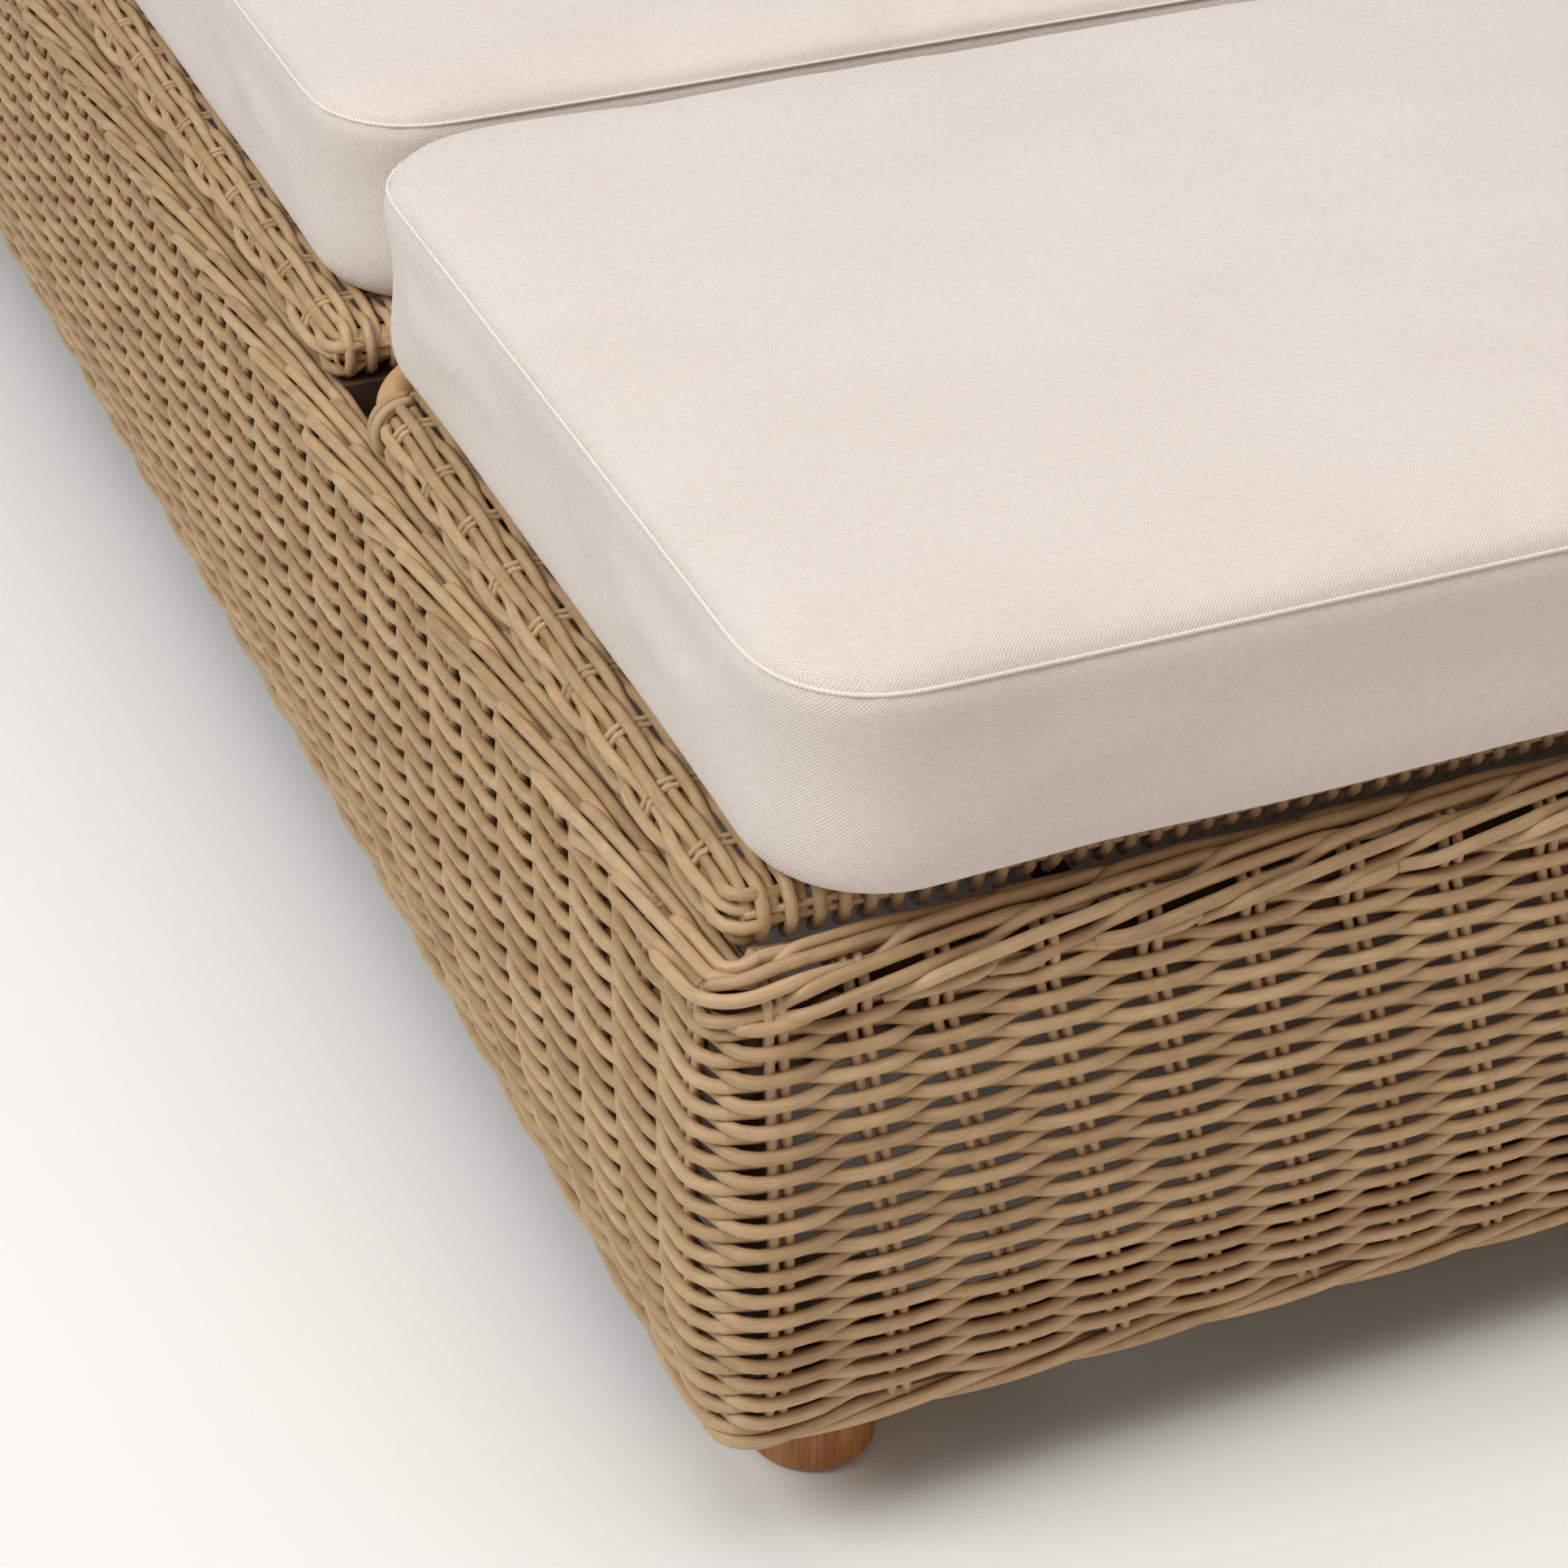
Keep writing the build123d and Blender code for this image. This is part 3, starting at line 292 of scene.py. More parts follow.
class Strands:
    """Gathers round strands and makes one mesh of them."""

    def __init__(self):
        self.count = 0
        self.corners = []
        self.loops = []
        self.starts = []
        self.loop_count = 0
        self.turns = []
        self.tones = []

    def add(self, line, out, radius, tone, sides=STRAND_SIDES, joined=(False, False)):
        """Add a strand along line; out points away from its wall at each point.

        A joined end meets another strand: its last point only gives the direction there.
        """
        ahead = np.gradient(line, axis=0)
        kept = slice(int(joined[0]), len(line) - int(joined[1]))
        tone = np.broadcast_to(tone, len(line))[kept]
        line, ahead, out = line[kept], ahead[kept], out[kept]
        ahead /= np.linalg.norm(ahead, axis=1)[:, None]
        side = np.cross(ahead, out)
        side /= np.linalg.norm(side, axis=1)[:, None]
        up = np.cross(side, ahead)
        turn = np.arange(sides) * 2 * np.pi / sides
        radius = np.broadcast_to(radius, len(line))[:, None, None]
        ring = np.cos(turn)[None, :, None] * up[:, None] + np.sin(turn)[None, :, None] * side[:, None]
        self.corners.append((line[:, None] + radius * ring).reshape(-1, 3))
        index = self.count + np.arange(len(line) * sides).reshape(len(line), sides)
        after = np.roll(index, -1, axis=1)
        quads = np.stack((index[:-1], after[:-1], after[1:], index[1:]), axis=-1).reshape(-1, 4)
        run = np.concatenate(([0.0], np.cumsum(np.linalg.norm(np.diff(line, axis=0), axis=1))))
        shape = (len(line) - 1, sides)
        low, high = np.broadcast_to(run[:-1, None], shape), np.broadcast_to(run[1:, None], shape)
        left = np.broadcast_to(np.arange(sides) / sides, shape)
        right = left + 1 / sides
        turns = np.stack((left, low, right, low, right, high, left, high), axis=-1).reshape(-1, 2)
        self.loops.append(quads.ravel())
        self.starts.append(self.loop_count + 4 * np.arange(len(quads)))
        self.loop_count += quads.size
        self.turns.append(turns)
        for cap, open_end in ((index[0][::-1], joined[0]), (index[-1], joined[1])):
            if not open_end:
                self.loops.append(cap)
                self.starts.append(np.array([self.loop_count]))
                self.loop_count += sides
                self.turns.append(np.zeros((sides, 2)))
        self.tones.append(np.repeat(tone, sides))
        self.count += index.size

    def object(self, name, material):
        """The mesh object of all the strands added."""
        mesh = bpy.data.meshes.new(name)
        loops = np.concatenate(self.loops).astype(np.int32)
        starts = np.concatenate(self.starts).astype(np.int32)
        mesh.vertices.add(self.count)
        mesh.vertices.foreach_set("co", np.concatenate(self.corners).astype(np.float32).ravel())
        mesh.loops.add(len(loops))
        mesh.loops.foreach_set("vertex_index", loops)
        mesh.polygons.add(len(starts))
        mesh.polygons.foreach_set("loop_start", starts)
        mesh.update(calc_edges=True)
        mesh.polygons.foreach_set("use_smooth", np.ones(len(starts), dtype=bool))
        mesh.uv_layers.new(name="Strand").data.foreach_set(
            "uv", np.concatenate(self.turns).astype(np.float32).ravel())
        tone = mesh.attributes.new("tone", "FLOAT", "POINT")
        tone.data.foreach_set("value", np.concatenate(self.tones).astype(np.float32))
        mesh.materials.append(material)
        return new_object(name, mesh)


def wall(phase, out, height):
    """Points of the base's wall, and the way out at each: phase counts stake pairs."""
    phase = np.mod(phase, ROUND)
    side = np.searchsorted(FIRST, phase, side="right") - 1
    pair = phase - FIRST[side]
    straight = np.minimum(pair, SPACES[side])
    angle = (pair - straight) * np.pi / 2
    x = (2 * straight / SPACES[side] - 1) * HALF[side] + (out - CORNER_OUT) * np.sin(angle)
    y = -AWAY[side] - (out - CORNER_OUT) * np.cos(angle)
    way_x, way_y = np.sin(angle), -np.cos(angle)
    c, s = np.cos(side * np.pi / 2), np.sin(side * np.pi / 2)
    points = np.stack((c * x - s * y, s * x + c * y, height + 0 * x), axis=-1)
    ways = np.stack((c * way_x - s * way_y, s * way_x + c * way_y, 0 * x), axis=-1)
    return points, ways


def leaned(pair, height):
    """Where a stake pair stands at a height. Stakes lean, but not at the corners."""
    phase = np.mod(pair, ROUND)
    side = np.searchsorted(FIRST, phase, side="right") - 1
    along = phase - FIRST[side]
    near = np.clip(np.minimum(along, SPACES[side] - along) / 2, 0, 1)
    return pair - STAKE_LEAN * (height - LEAN_MIDDLE) * near / PAIR_SPACE


def skirt_out(height):
    """How far out the skirt's face stands at a height."""
    below = FOOT_DRAW_IN * (np.clip(BELLY_HEIGHT - height, 0, 1) / FOOT_SPAN) ** 2
    above = TOP_DRAW_IN * (np.clip(height - BELLY_HEIGHT, 0, 1) / TOP_SPAN) ** 2
    return BELLY_OUT - below - above


def skirt_swing(height):
    """How far a row swings in and out of the stakes."""
    return np.clip((skirt_out(height) - RAIL_FACE) / 2, SWING_LEAST, SWING_MOST)


def drift(phase, random, size, waves=SLOW_WAVES):
    """A slow uneven change along a strand that closes on itself round the base."""
    parts = [np.sin(2 * np.pi * n * phase / ROUND + random.uniform(0, PHASE_MOST)) for n in waves]
    return size * sum(parts) / len(parts)


def over_under(turn):
    """1 in front of the stakes and -1 behind them, staying flat over each pair."""
    return np.tanh(OVER_FLATNESS * np.cos(np.pi * turn)) / np.tanh(OVER_FLATNESS)


def side_run(side, steps):
    """Places along one side, with one more at each end that only gives the direction there."""
    return FIRST[side] - 0.5 + np.arange(-1, (SPACES[side] + 1) * steps + 2) / steps


def skirt_row(strands, index, side, settings, random):
    """One row of the skirt on one side of the base."""
    pair = side_run(side, settings.steps)
    radius = settings.strand / 2
    height = SKIRT_LOW + index * SKIRT_ROW_SPACE + drift(pair, random, ROW_DRIFT)
    if index >= SKIRT_ROWS - RIM_ROWS:
        part = np.mod((pair + index + 1) / 2, 1)
        edge = np.minimum(part, 1 - part) / RIM_ROW_DROP_SHARE
        height = height + RIM_RISE * (part - 0.5) * smooth(edge)
    swing = skirt_swing(height)
    wave = over_under(pair + index) * (1 + drift(pair, random, SWING_DRIFT, SWING_WAVES))
    out = skirt_out(height) - radius - swing + swing * wave
    line, way = wall(leaned(pair, height), out, height)
    tone = random.uniform(-1, 1) + drift(pair, random, TONE_DRIFT)
    strands.add(line, way, radius, tone, joined=(True, True))


def end_share(phase):
    """1 along the foot and head ends of the base, 0 along its long sides."""
    phase = np.mod(phase, ROUND)
    side = np.searchsorted(FIRST, phase, side="right") - 1
    turned = np.clip(phase - FIRST[side] - SPACES[side], 0, 1)
    return np.where(side % 2 == 0, 1 - smooth(turned), smooth(turned))


def rim_place(phase, angle, deep):
    """Points of the rim and the way out at each: angle goes from its outer face over the crown."""
    ends = end_share(phase)
    middle, half_width, half_height = (
        sides * (1 - ends) + end * ends for sides, end in (RIM_OUT, RIM_HALF_WIDTH, RIM_HALF_HEIGHT))
    across = np.cos(angle) / half_width
    upward = np.sin(angle) / half_height
    size = np.hypot(across, upward)
    across, upward = across / size, upward / size
    out = middle + half_width * np.cos(angle) + deep * across
    height = RIM_HEIGHT + half_height * np.sin(angle) + deep * upward
    line, way = wall(phase, out, height)
    way = way * across[:, None]
    way[:, 2] = upward
    return line, way


def wall_stake(strands, pair, settings, random):
    """One pair of upright stakes, bent in over the top rail under the rim."""
    radius = settings.stake / 2
    height = np.linspace(STAKE_LOW, STAKE_BEND, STAKE_POINTS)
    out = skirt_out(height) - settings.strand / 2 - skirt_swing(height)
    for spread in (-STAKE_SPREAD, STAKE_SPREAD):
        phase = leaned(pair, height) + spread / PAIR_SPACE
        line, way = wall(phase, out, height)
        crown = leaned(pair, STAKE_BEND) + spread / PAIR_SPACE + 0 * STAKE_ANGLES
        over, over_way = rim_place(crown, STAKE_ANGLES, -STAKE_DEEP)
        line, way = np.concatenate((line, over)), np.concatenate((way, over_way))
        strands.add(line, way, radius, random.uniform(-1, 1), sides=STAKE_SIDES)


def rim_climb():
    """Angles over the rim, and how far a strand has climbed at each."""
    angle = np.linspace(RIM_FROM, RIM_FROM + RIM_TURN, RIM_ANGLES)
    across = np.mean(RIM_HALF_WIDTH) * np.diff(np.sin(angle))
    upward = np.mean(RIM_HALF_HEIGHT) * np.diff(np.cos(angle))
    return angle, np.concatenate(([0.0], np.cumsum(np.hypot(across, upward))))


def rim_strand(strands, start, side, settings):
    """The part on one side of one strand of the rim.

    A strand runs over two pairs of stakes and under the third, and hooks up as it comes out.
    """
    number = (start - HIDDEN_CORNER) % ROUND
    random = np.random.default_rng(RIMS_SEED + number)
    wobble = random.uniform(-RIM_WOBBLE, RIM_WOBBLE)
    tone = random.uniform(-1, 1)
    low, high = FIRST[side] - 0.5, FIRST[side] + SPACES[side] + 0.5
    age = np.arange(RIM_SPACES * RIM_STEPS + 1) / RIM_STEPS
    phase = start + age
    reach = RIM_CUT_STEPS / RIM_STEPS
    kept = (phase > low - reach) & (phase < high + reach)
    if kept.sum() < RIM_FEWEST_POINTS:
        return
    joined = (bool(phase[0] < low - RIM_CUT_SPARE), bool(phase[-1] > high + RIM_CUT_SPARE))
    age, phase = age[kept], phase[kept]
    since = np.mod(age - number, 3)
    hooked = 1 - np.exp(-since / RIM_HOOK_SPAN)
    angle, climb = rim_climb()
    climbed = climb[-1] * (age - RIM_LATE) / RIM_SPACES + RIM_HOOK * (hooked - since / 3)
    dive = smooth((since - RIM_DIVE_START) / RIM_DIVE_SPAN)
    dive = np.maximum(dive, 1 - smooth(since / RIM_COME_OUT_SPAN))
    dive = np.maximum(dive, np.exp(-(age / RIM_BEGIN_SPAN) ** 2))
    laid = smooth((since - RIM_LAY_START) / RIM_LAY_SPAN)
    lifted = RIM_LIFT * smooth(since / RIM_LIFT_SPAN) * (1 - laid)
    line, way = rim_place(phase, np.interp(climbed, climb, angle), wobble + lifted - RIM_DIVE * dive)
    strands.add(line, way, settings.strand / 2 * RIM_STRAND_SHARE, tone, joined=joined)


def foot_rope(strands, side, settings, random):
    """The three strands twisted under the skirt's edge."""
    phase = side_run(side, ROPE_STEPS)
    radius = settings.strand / 2
    for strand in range(3):
        twist = 2 * np.pi * (ROPE_TURNS * phase / ROUND + strand / 3)
        out = ROPE_OUT + ROPE_RADIUS * np.cos(twist)
        height = ROPE_HEIGHT + ROPE_RADIUS * np.sin(twist)
        line, way = wall(phase, out, height)
        strands.add(line, way, radius, random.uniform(-1, 1), joined=(True, True))


class Panel:
    """The woven sheet of one panel: rows run along Y, and it wraps round every tube but a bare rail."""

    def __init__(self, lane, origin, way, low, high, hinged):
        self.middle = LANE_X[lane]
        self.origin = origin
        self.way = way
        self.low = low
        self.hinged = hinged
        self.flat = LANE_HALF - TUBE_IN
        self.length = high - low
        self.end = self.length + WRAP * np.pi / 2
        self.space = PANEL_PAIR_SPACE
        # A sheet wrapped at both ends takes a whole number of pairs
        if not hinged:
            whole = self.length + WRAP * np.pi
            self.space = whole / round(whole / PANEL_PAIR_SPACE)

    def place(self, across, along, lift, start=0.0):
        """Points of the sheet, and the way out at each, lift above its middle."""
        along = along + 0 * across
        across = across + 0 * along
        bend_low = np.clip((start - along) / WRAP, 0, np.pi)
        bend_high = np.clip((along - self.length) / WRAP, 0, np.pi)
        flat = np.clip(along, start, self.length)
        bend_side = np.clip((np.abs(across) - self.flat) / WRAP, 0, np.pi)
        over = np.clip(across, -self.flat, self.flat)
        end = bend_high - bend_low
        size = WRAP + lift
        way_t = np.sin(end) * np.cos(bend_side)
        way_x = np.sin(bend_side) * np.sign(across)
        way_z = np.cos(end) * np.cos(bend_side)
        reach = self.low + flat + size * way_t
        x = self.middle + over + size * way_x
        z = HINGE_HEIGHT + size * way_z
        line = np.stack((x, self.origin + self.way * reach, z + 0 * x), axis=-1)
        out = np.stack((way_x, self.way * way_t, way_z), axis=-1)
        return line, out

    def wave(self, along, index):
        """1 where a row runs over a pair of stakes and -1 where it runs under one."""
        return over_under((along - self.end) / self.space + index)

    def row_start(self, across):
        """Where a row begins: at the weaving bar, or beyond the bend of the bare rail."""
        if not self.hinged:
            return 0.0
        return (SIDE_START - BAR_REACH) * float(smooth((abs(across) - BAR_HALF) / BAR_EDGE))

    def top_row(self, strands, index, across, settings, random, close):
        """A row over the flat of the sheet, hooked down over a tube at each end."""
        start = self.row_start(across)
        steps, sides = (CLOSE_STEPS, STRAND_SIDES) if close else (COVERED_STEPS, COVERED_SIDES)
        count = int((self.length - start + 2 * ROW_HOOK) / self.space * steps)
        along = np.linspace(start - ROW_HOOK, self.length + ROW_HOOK, count + ROW_SPARE_POINTS)
        swing = PANEL_SWING * (1 + random.uniform(-SWING_UNEVEN, SWING_UNEVEN))
        if self.hinged:
            freed = smooth((along - start + BAR_SWING_BEFORE) / BAR_SWING_SPAN)
            swing = swing * (BAR_SWING_SHARE + (1 - BAR_SWING_SHARE) * freed)
        lift = swing * self.wave(along, index)
        wander = random.uniform(-ROW_WANDER, ROW_WANDER)
        wander = wander + ROW_WAVE * np.sin(along * ROW_WAVE_RATE + random.uniform(0, ROW_PHASE_MOST))
        line, out = self.place(across + wander, along, lift, start)
        strands.add(line, out, settings.panel_strand / 2, random.uniform(-1, 1), sides=sides)

    def side_row(self, strands, index, across, settings, random):
        """A row that lies round the side tube, turned round the corner at its free ends."""
        start = self.row_start(across) + SIDE_STAGGER * (index % 2)
        turn_round = WRAP * np.pi / 2 + SIDE_TURN_IN
        low = start if self.hinged else -turn_round
        count = int((self.length + SIDE_SPARE) / self.space * CLOSE_STEPS)
        along = np.linspace(low, self.length + turn_round, count)
        lift = PANEL_SWING * self.wave(along, index)
        bend = (abs(across) - self.flat) / WRAP
        sign = math.copysign(1, across)
        beyond_high = np.clip(along - self.length, 0, None)
        beyond_low = np.clip(-along, 0, None) if not self.hinged else 0 * along
        beyond = beyond_high + beyond_low
        angle = np.clip(beyond / WRAP, 0, np.pi / 2)
        inward = np.clip(beyond - WRAP * np.pi / 2, 0, None)
        end = np.where(beyond_low > 0, -1.0, 1.0)
        lift = lift - SIDE_TUCK * smooth(inward / SIDE_TUCK_SPAN)
        if self.hinged:
            lift = lift - SIDE_SINK * (1 - smooth((along - low) / SIDE_SINK_SPAN))
        size = WRAP + lift
        way_x = np.sin(bend) * np.cos(angle) * sign
        way_t = np.sin(bend) * np.sin(angle) * end
        way_z = np.cos(bend) + 0 * angle
        x = self.middle + sign * (self.flat - inward) + size * way_x
        reach = self.low + np.clip(along, 0 if not self.hinged else low, self.length) + size * way_t
        z = HINGE_HEIGHT + size * way_z
        line = np.stack((x, self.origin + self.way * reach, z), axis=-1)
        out = np.stack((way_x, self.way * way_t, way_z), axis=-1)
        strands.add(line, out, settings.panel_strand / 2, random.uniform(-1, 1))

    def pair(self, strands, along, random):
        """A pair of stakes across the sheet: it wraps round the side tubes, or stops short over an end."""
        if along > self.length or along < 0:
            across = np.linspace(-PAIR_BENT_HALF, PAIR_BENT_HALF, PAIR_FLAT_POINTS)
        else:
            reach = self.flat + WRAP * PAIR_WRAPS
            bends = self.flat + np.linspace(0, reach - self.flat, PAIR_BEND_POINTS)
            flat = np.linspace(-self.flat, self.flat, PAIR_FLAT_POINTS)[1:-1]
            across = np.concatenate((-bends[::-1], flat, bends))
        for spread in (-PANEL_STAKE_SPREAD, PANEL_STAKE_SPREAD):
            line, out = self.place(across, along + spread, 0.0)
            strands.add(line, out, PANEL_STAKE_RADIUS, random.uniform(-1, 1), sides=PANEL_STAKE_SIDES)

    def weave(self, name, settings, material, seed):
        """The whole sheet as one piece."""
        strands = Strands()
        random = np.random.default_rng(seed)
        half = self.flat + WRAP * SHEET_HALF_WRAPS
        rows = int(2 * half / PANEL_ROW_SPACE)
        for index in range(rows + 1):
            across = (index - rows / 2) * PANEL_ROW_SPACE
            if abs(across) > self.flat + FLAT_MARGIN:
                self.side_row(strands, index, across, settings, random)
            else:
                self.top_row(strands, index, across, settings, random, abs(across) > CLOSE_FROM)
        along = self.end
        last = PAIR_NEAREST if self.hinged else -WRAP * np.pi / 2 - PAIR_LAST_SPARE
        while along > last:
            self.pair(strands, along, random)
            along -= self.space
        if self.hinged:
            for lift, step in BINDINGS:
                self.binding(strands, SIDE_START - BAR_REACH + step, lift, settings, random)
        return strands.object(name, material)

    def binding(self, strands, along, lift, settings, random):
        """A turn round each side tube that covers the ends of the side rows."""
        for sign in (-1, 1):
            wraps = np.linspace(BINDING_FROM_WRAPS, BINDING_TO_WRAPS, BINDING_POINTS)
            line, out = self.place(sign * (self.flat + WRAP * wraps), along, lift)
            strands.add(line, out, settings.panel_strand / 2 * BINDING_SHARE, random.uniform(-1, 1))


def panels():
    """Every woven panel by name: its body and its sheet."""
    found = {}
    for lane in LANE_X:
        found[f"leg_deck_{lane}"] = (
            f"leg_panel_{lane}", Panel(lane, LEG_HINGE_Y, -1, BAR_REACH, LEG_REACH - WRAP_EDGE, True))
        found[f"back_deck_{lane}"] = (
            f"back_panel_{lane}", Panel(lane, BACK_HINGE_Y, 1, BAR_REACH, BACK_REACH - WRAP_EDGE, True))
        length = SEAT_REAR_Y - SEAT_FRONT_Y
        found[f"seat_deck_{lane}"] = (
            "base", Panel(lane, SEAT_FRONT_Y, 1, WRAP_EDGE, length - WRAP_EDGE, False))
    return found


def add_node(tree, kind, settings=None, links=None):
    """Add a node, set its properties and inputs, and link inputs from (node, output) pairs."""
    node = tree.nodes.new(kind)
    for name, value in (settings or {}).items():
        if isinstance(name, str) and hasattr(node, name):
            setattr(node, name, value)
        else:
            node.inputs[name].default_value = value
    for name, (source, output) in (links or {}).items():
        tree.links.new(source.outputs[output], node.inputs[name])
    return node


def new_material(name, settings):
    """A material with one Principled surface, ready for its pattern."""
    material = bpy.data.materials.new(name)
    material.use_nodes = True
    tree = material.node_tree
    tree.nodes.clear()
    surface = add_node(tree, "ShaderNodeBsdfPrincipled", settings)
    add_node(tree, "ShaderNodeOutputMaterial", links={"Surface": (surface, "BSDF")})
    return material, tree, surface


def set_colour(tree, surface, source, stops):
    """Colour the surface by a ramp through sRGB hex values, driven by (node, output)."""
    ramp = add_node(tree, "ShaderNodeValToRGB", links={"Fac": source})
    elements = ramp.color_ramp.elements
    while len(elements) < len(stops):
        elements.new(0.5)
    for element, (place, code) in zip(elements, stops):
        element.position = place
        element.color = (*linear(code), 1.0)
    tree.links.new(ramp.outputs["Color"], surface.inputs["Base Color"])


def set_bump(tree, surface, source, strength, distance):
    """Raise the surface by (node, output); distance is the real height in metres."""
    bump = add_node(
        tree, "ShaderNodeBump", {"Strength": strength, "Distance": distance}, {"Height": source})
    tree.links.new(bump.outputs["Normal"], surface.inputs["Normal"])


def extruded_strand(name, stops):
    """Extruded polyethylene strand with a drawn, slightly waxy skin: pale streaks run along it."""
    material, tree, surface = new_material(name, {"Roughness": 0.52, "IOR": 1.5})
    tone = add_node(tree, "ShaderNodeAttribute", {"attribute_name": "tone"})
    turns = add_node(tree, "ShaderNodeUVMap", {"uv_map": "Strand"})
    # Eleven streaks round a strand, so nearly 2 mm wide on one of 6 mm, and about 18 mm long
    stretch = add_node(tree, "ShaderNodeMapping", {"Scale": (11.0, 55.0, 1.0)}, {"Vector": (turns, "UV")})
    shift = add_node(tree, "ShaderNodeCombineXYZ", links={"Z": (tone, "Fac")})
    moved = add_node(
        tree, "ShaderNodeVectorMath", {"operation": "ADD"}, {0: (stretch, "Vector"), 1: (shift, "Vector")})
    streaks = add_node(
        tree, "ShaderNodeTexNoise", {"Scale": 1.0, "Detail": 4.0, "Roughness": 0.6},
        {"Vector": (moved, "Vector")})
    place = add_node(tree, "ShaderNodeTexCoord")
    # Blotches some 12 mm across, where the colour was mixed unevenly
    blotches = add_node(
        tree, "ShaderNodeTexNoise", {"Scale": 85.0, "Detail": 3.0}, {"Vector": (place, "Object")})
    evened = add_node(
        tree, "ShaderNodeMath", {"operation": "MULTIPLY_ADD", 1: 0.42, 2: 0.08}, {0: (streaks, "Fac")})
    blotched = add_node(
        tree, "ShaderNodeMath", {"operation": "MULTIPLY_ADD", 1: 0.30},
        {0: (blotches, "Fac"), 2: (evened, 0)})
    toned = add_node(
        tree, "ShaderNodeMath", {"operation": "MULTIPLY_ADD", 1: 0.085},
        {0: (tone, "Fac"), 2: (blotched, 0)})
    set_colour(tree, surface, (toned, 0), stops)
    set_bump(tree, surface, (streaks, "Fac"), 0.35, 0.0004)
    return material


def basket_pattern(tree, spacing):
    """Height of a plain weave of the given thread spacing, laid flat on each face of the cushion."""
    place = add_node(tree, "ShaderNodeTexCoord")
    rate = 2 * math.pi / spacing
    scaled = add_node(
        tree, "ShaderNodeVectorMath", {"operation": "SCALE", "Scale": rate}, {0: (place, "Object")})
    axes = add_node(tree, "ShaderNodeSeparateXYZ", links={0: (scaled, "Vector")})
    waves = {
        axis: add_node(tree, "ShaderNodeMath", {"operation": "SINE"}, {0: (axes, axis)})
        for axis in "XYZ"}
    facing = add_node(tree, "ShaderNodeSeparateXYZ", links={0: (place, "Normal")})
    ways = {
        axis: add_node(tree, "ShaderNodeMath", {"operation": "ABSOLUTE"}, {0: (facing, axis)})
        for axis in "XYZ"}
    sheets = {}
    for face, (a, b) in {"Z": "XY", "X": "YZ", "Y": "XZ"}.items():
        sheets[face] = add_node(
            tree, "ShaderNodeMath", {"operation": "MULTIPLY"}, {0: (waves[a], 0), 1: (waves[b], 0)})
    level = add_node(tree, "ShaderNodeMath", {"operation": "GREATER_THAN", 1: 0.7}, {0: (ways["Z"], 0)})
    sideways = add_node(
        tree, "ShaderNodeMath", {"operation": "GREATER_THAN"}, {0: (ways["X"], 0), 1: (ways["Y"], 0)})
    walls = add_node(
        tree, "ShaderNodeMix", {}, {"Factor": (sideways, 0), "A": (sheets["Y"], 0), "B": (sheets["X"], 0)})
    return add_node(
        tree, "ShaderNodeMix", {}, {"Factor": (level, 0), "A": (walls, "Result"), "B": (sheets["Z"], 0)})


def woven_polyester(name, thread, stops):
    """Woven outdoor polyester, washed and sewn: a matt basket of pale and sand threads."""
    material, tree, surface = new_material(
        name, {"Roughness": 0.88, "IOR": 1.45, "Sheen Weight": 0.12, "Sheen Roughness": 0.5})
    weave = basket_pattern(tree, thread)
    place = add_node(tree, "ShaderNodeTexCoord")
    # Yarn slubs about 3 mm long, and the cloudy unevenness of dyed cloth, about 110 mm across
    slubs = add_node(
        tree, "ShaderNodeTexNoise", {"Scale": 330.0, "Detail": 2.0}, {"Vector": (place, "Object")})
    clouds = add_node(
        tree, "ShaderNodeTexNoise", {"Scale": 9.0, "Detail": 3.0}, {"Vector": (place, "Object")})
    threads = add_node(
        tree, "ShaderNodeMath", {"operation": "MULTIPLY_ADD", 1: 0.30, 2: 0.28}, {0: (weave, "Result")})
    slubbed = add_node(
        tree, "ShaderNodeMath", {"operation": "MULTIPLY_ADD", 1: 0.25},
        {0: (slubs, "Fac"), 2: (threads, 0)})
    clouded = add_node(
        tree, "ShaderNodeMath", {"operation": "MULTIPLY_ADD", 1: 0.20},
        {0: (clouds, "Fac"), 2: (slubbed, 0)})
    set_colour(tree, surface, (clouded, 0), stops)
    set_bump(tree, surface, (weave, "Result"), 0.5, 0.0003)
    return material


def oiled_wood(name, stops, along, roughness):
    """Turned or planed hardwood, oiled: long grain with darker pores along one axis."""
    material, tree, surface = new_material(name, {"Roughness": roughness, "IOR": 1.5})
    place = add_node(tree, "ShaderNodeTexCoord")
    # Growth rings about 4 mm apart, drawn out nearly twenty times along the grain
    scale = tuple(14.0 if axis == along else 260.0 for axis in "XYZ")
    drawn = add_node(tree, "ShaderNodeMapping", {"Scale": scale}, {"Vector": (place, "Object")})
    grain = add_node(
        tree, "ShaderNodeTexNoise", {"Scale": 1.0, "Detail": 6.0, "Roughness": 0.65, "Distortion": 0.4},
        {"Vector": (drawn, "Vector")})
    # Pores about 1 mm apart
    pores = add_node(
        tree, "ShaderNodeTexNoise", {"Scale": 4.0, "Detail": 2.0}, {"Vector": (drawn, "Vector")})
    mixed = add_node(
        tree, "ShaderNodeMath", {"operation": "MULTIPLY_ADD", 1: 0.35},
        {0: (pores, "Fac"), 2: (grain, "Fac")})
    set_colour(tree, surface, (mixed, 0), stops)
    set_bump(tree, surface, (mixed, 0), 0.4, 0.0004)
    return material


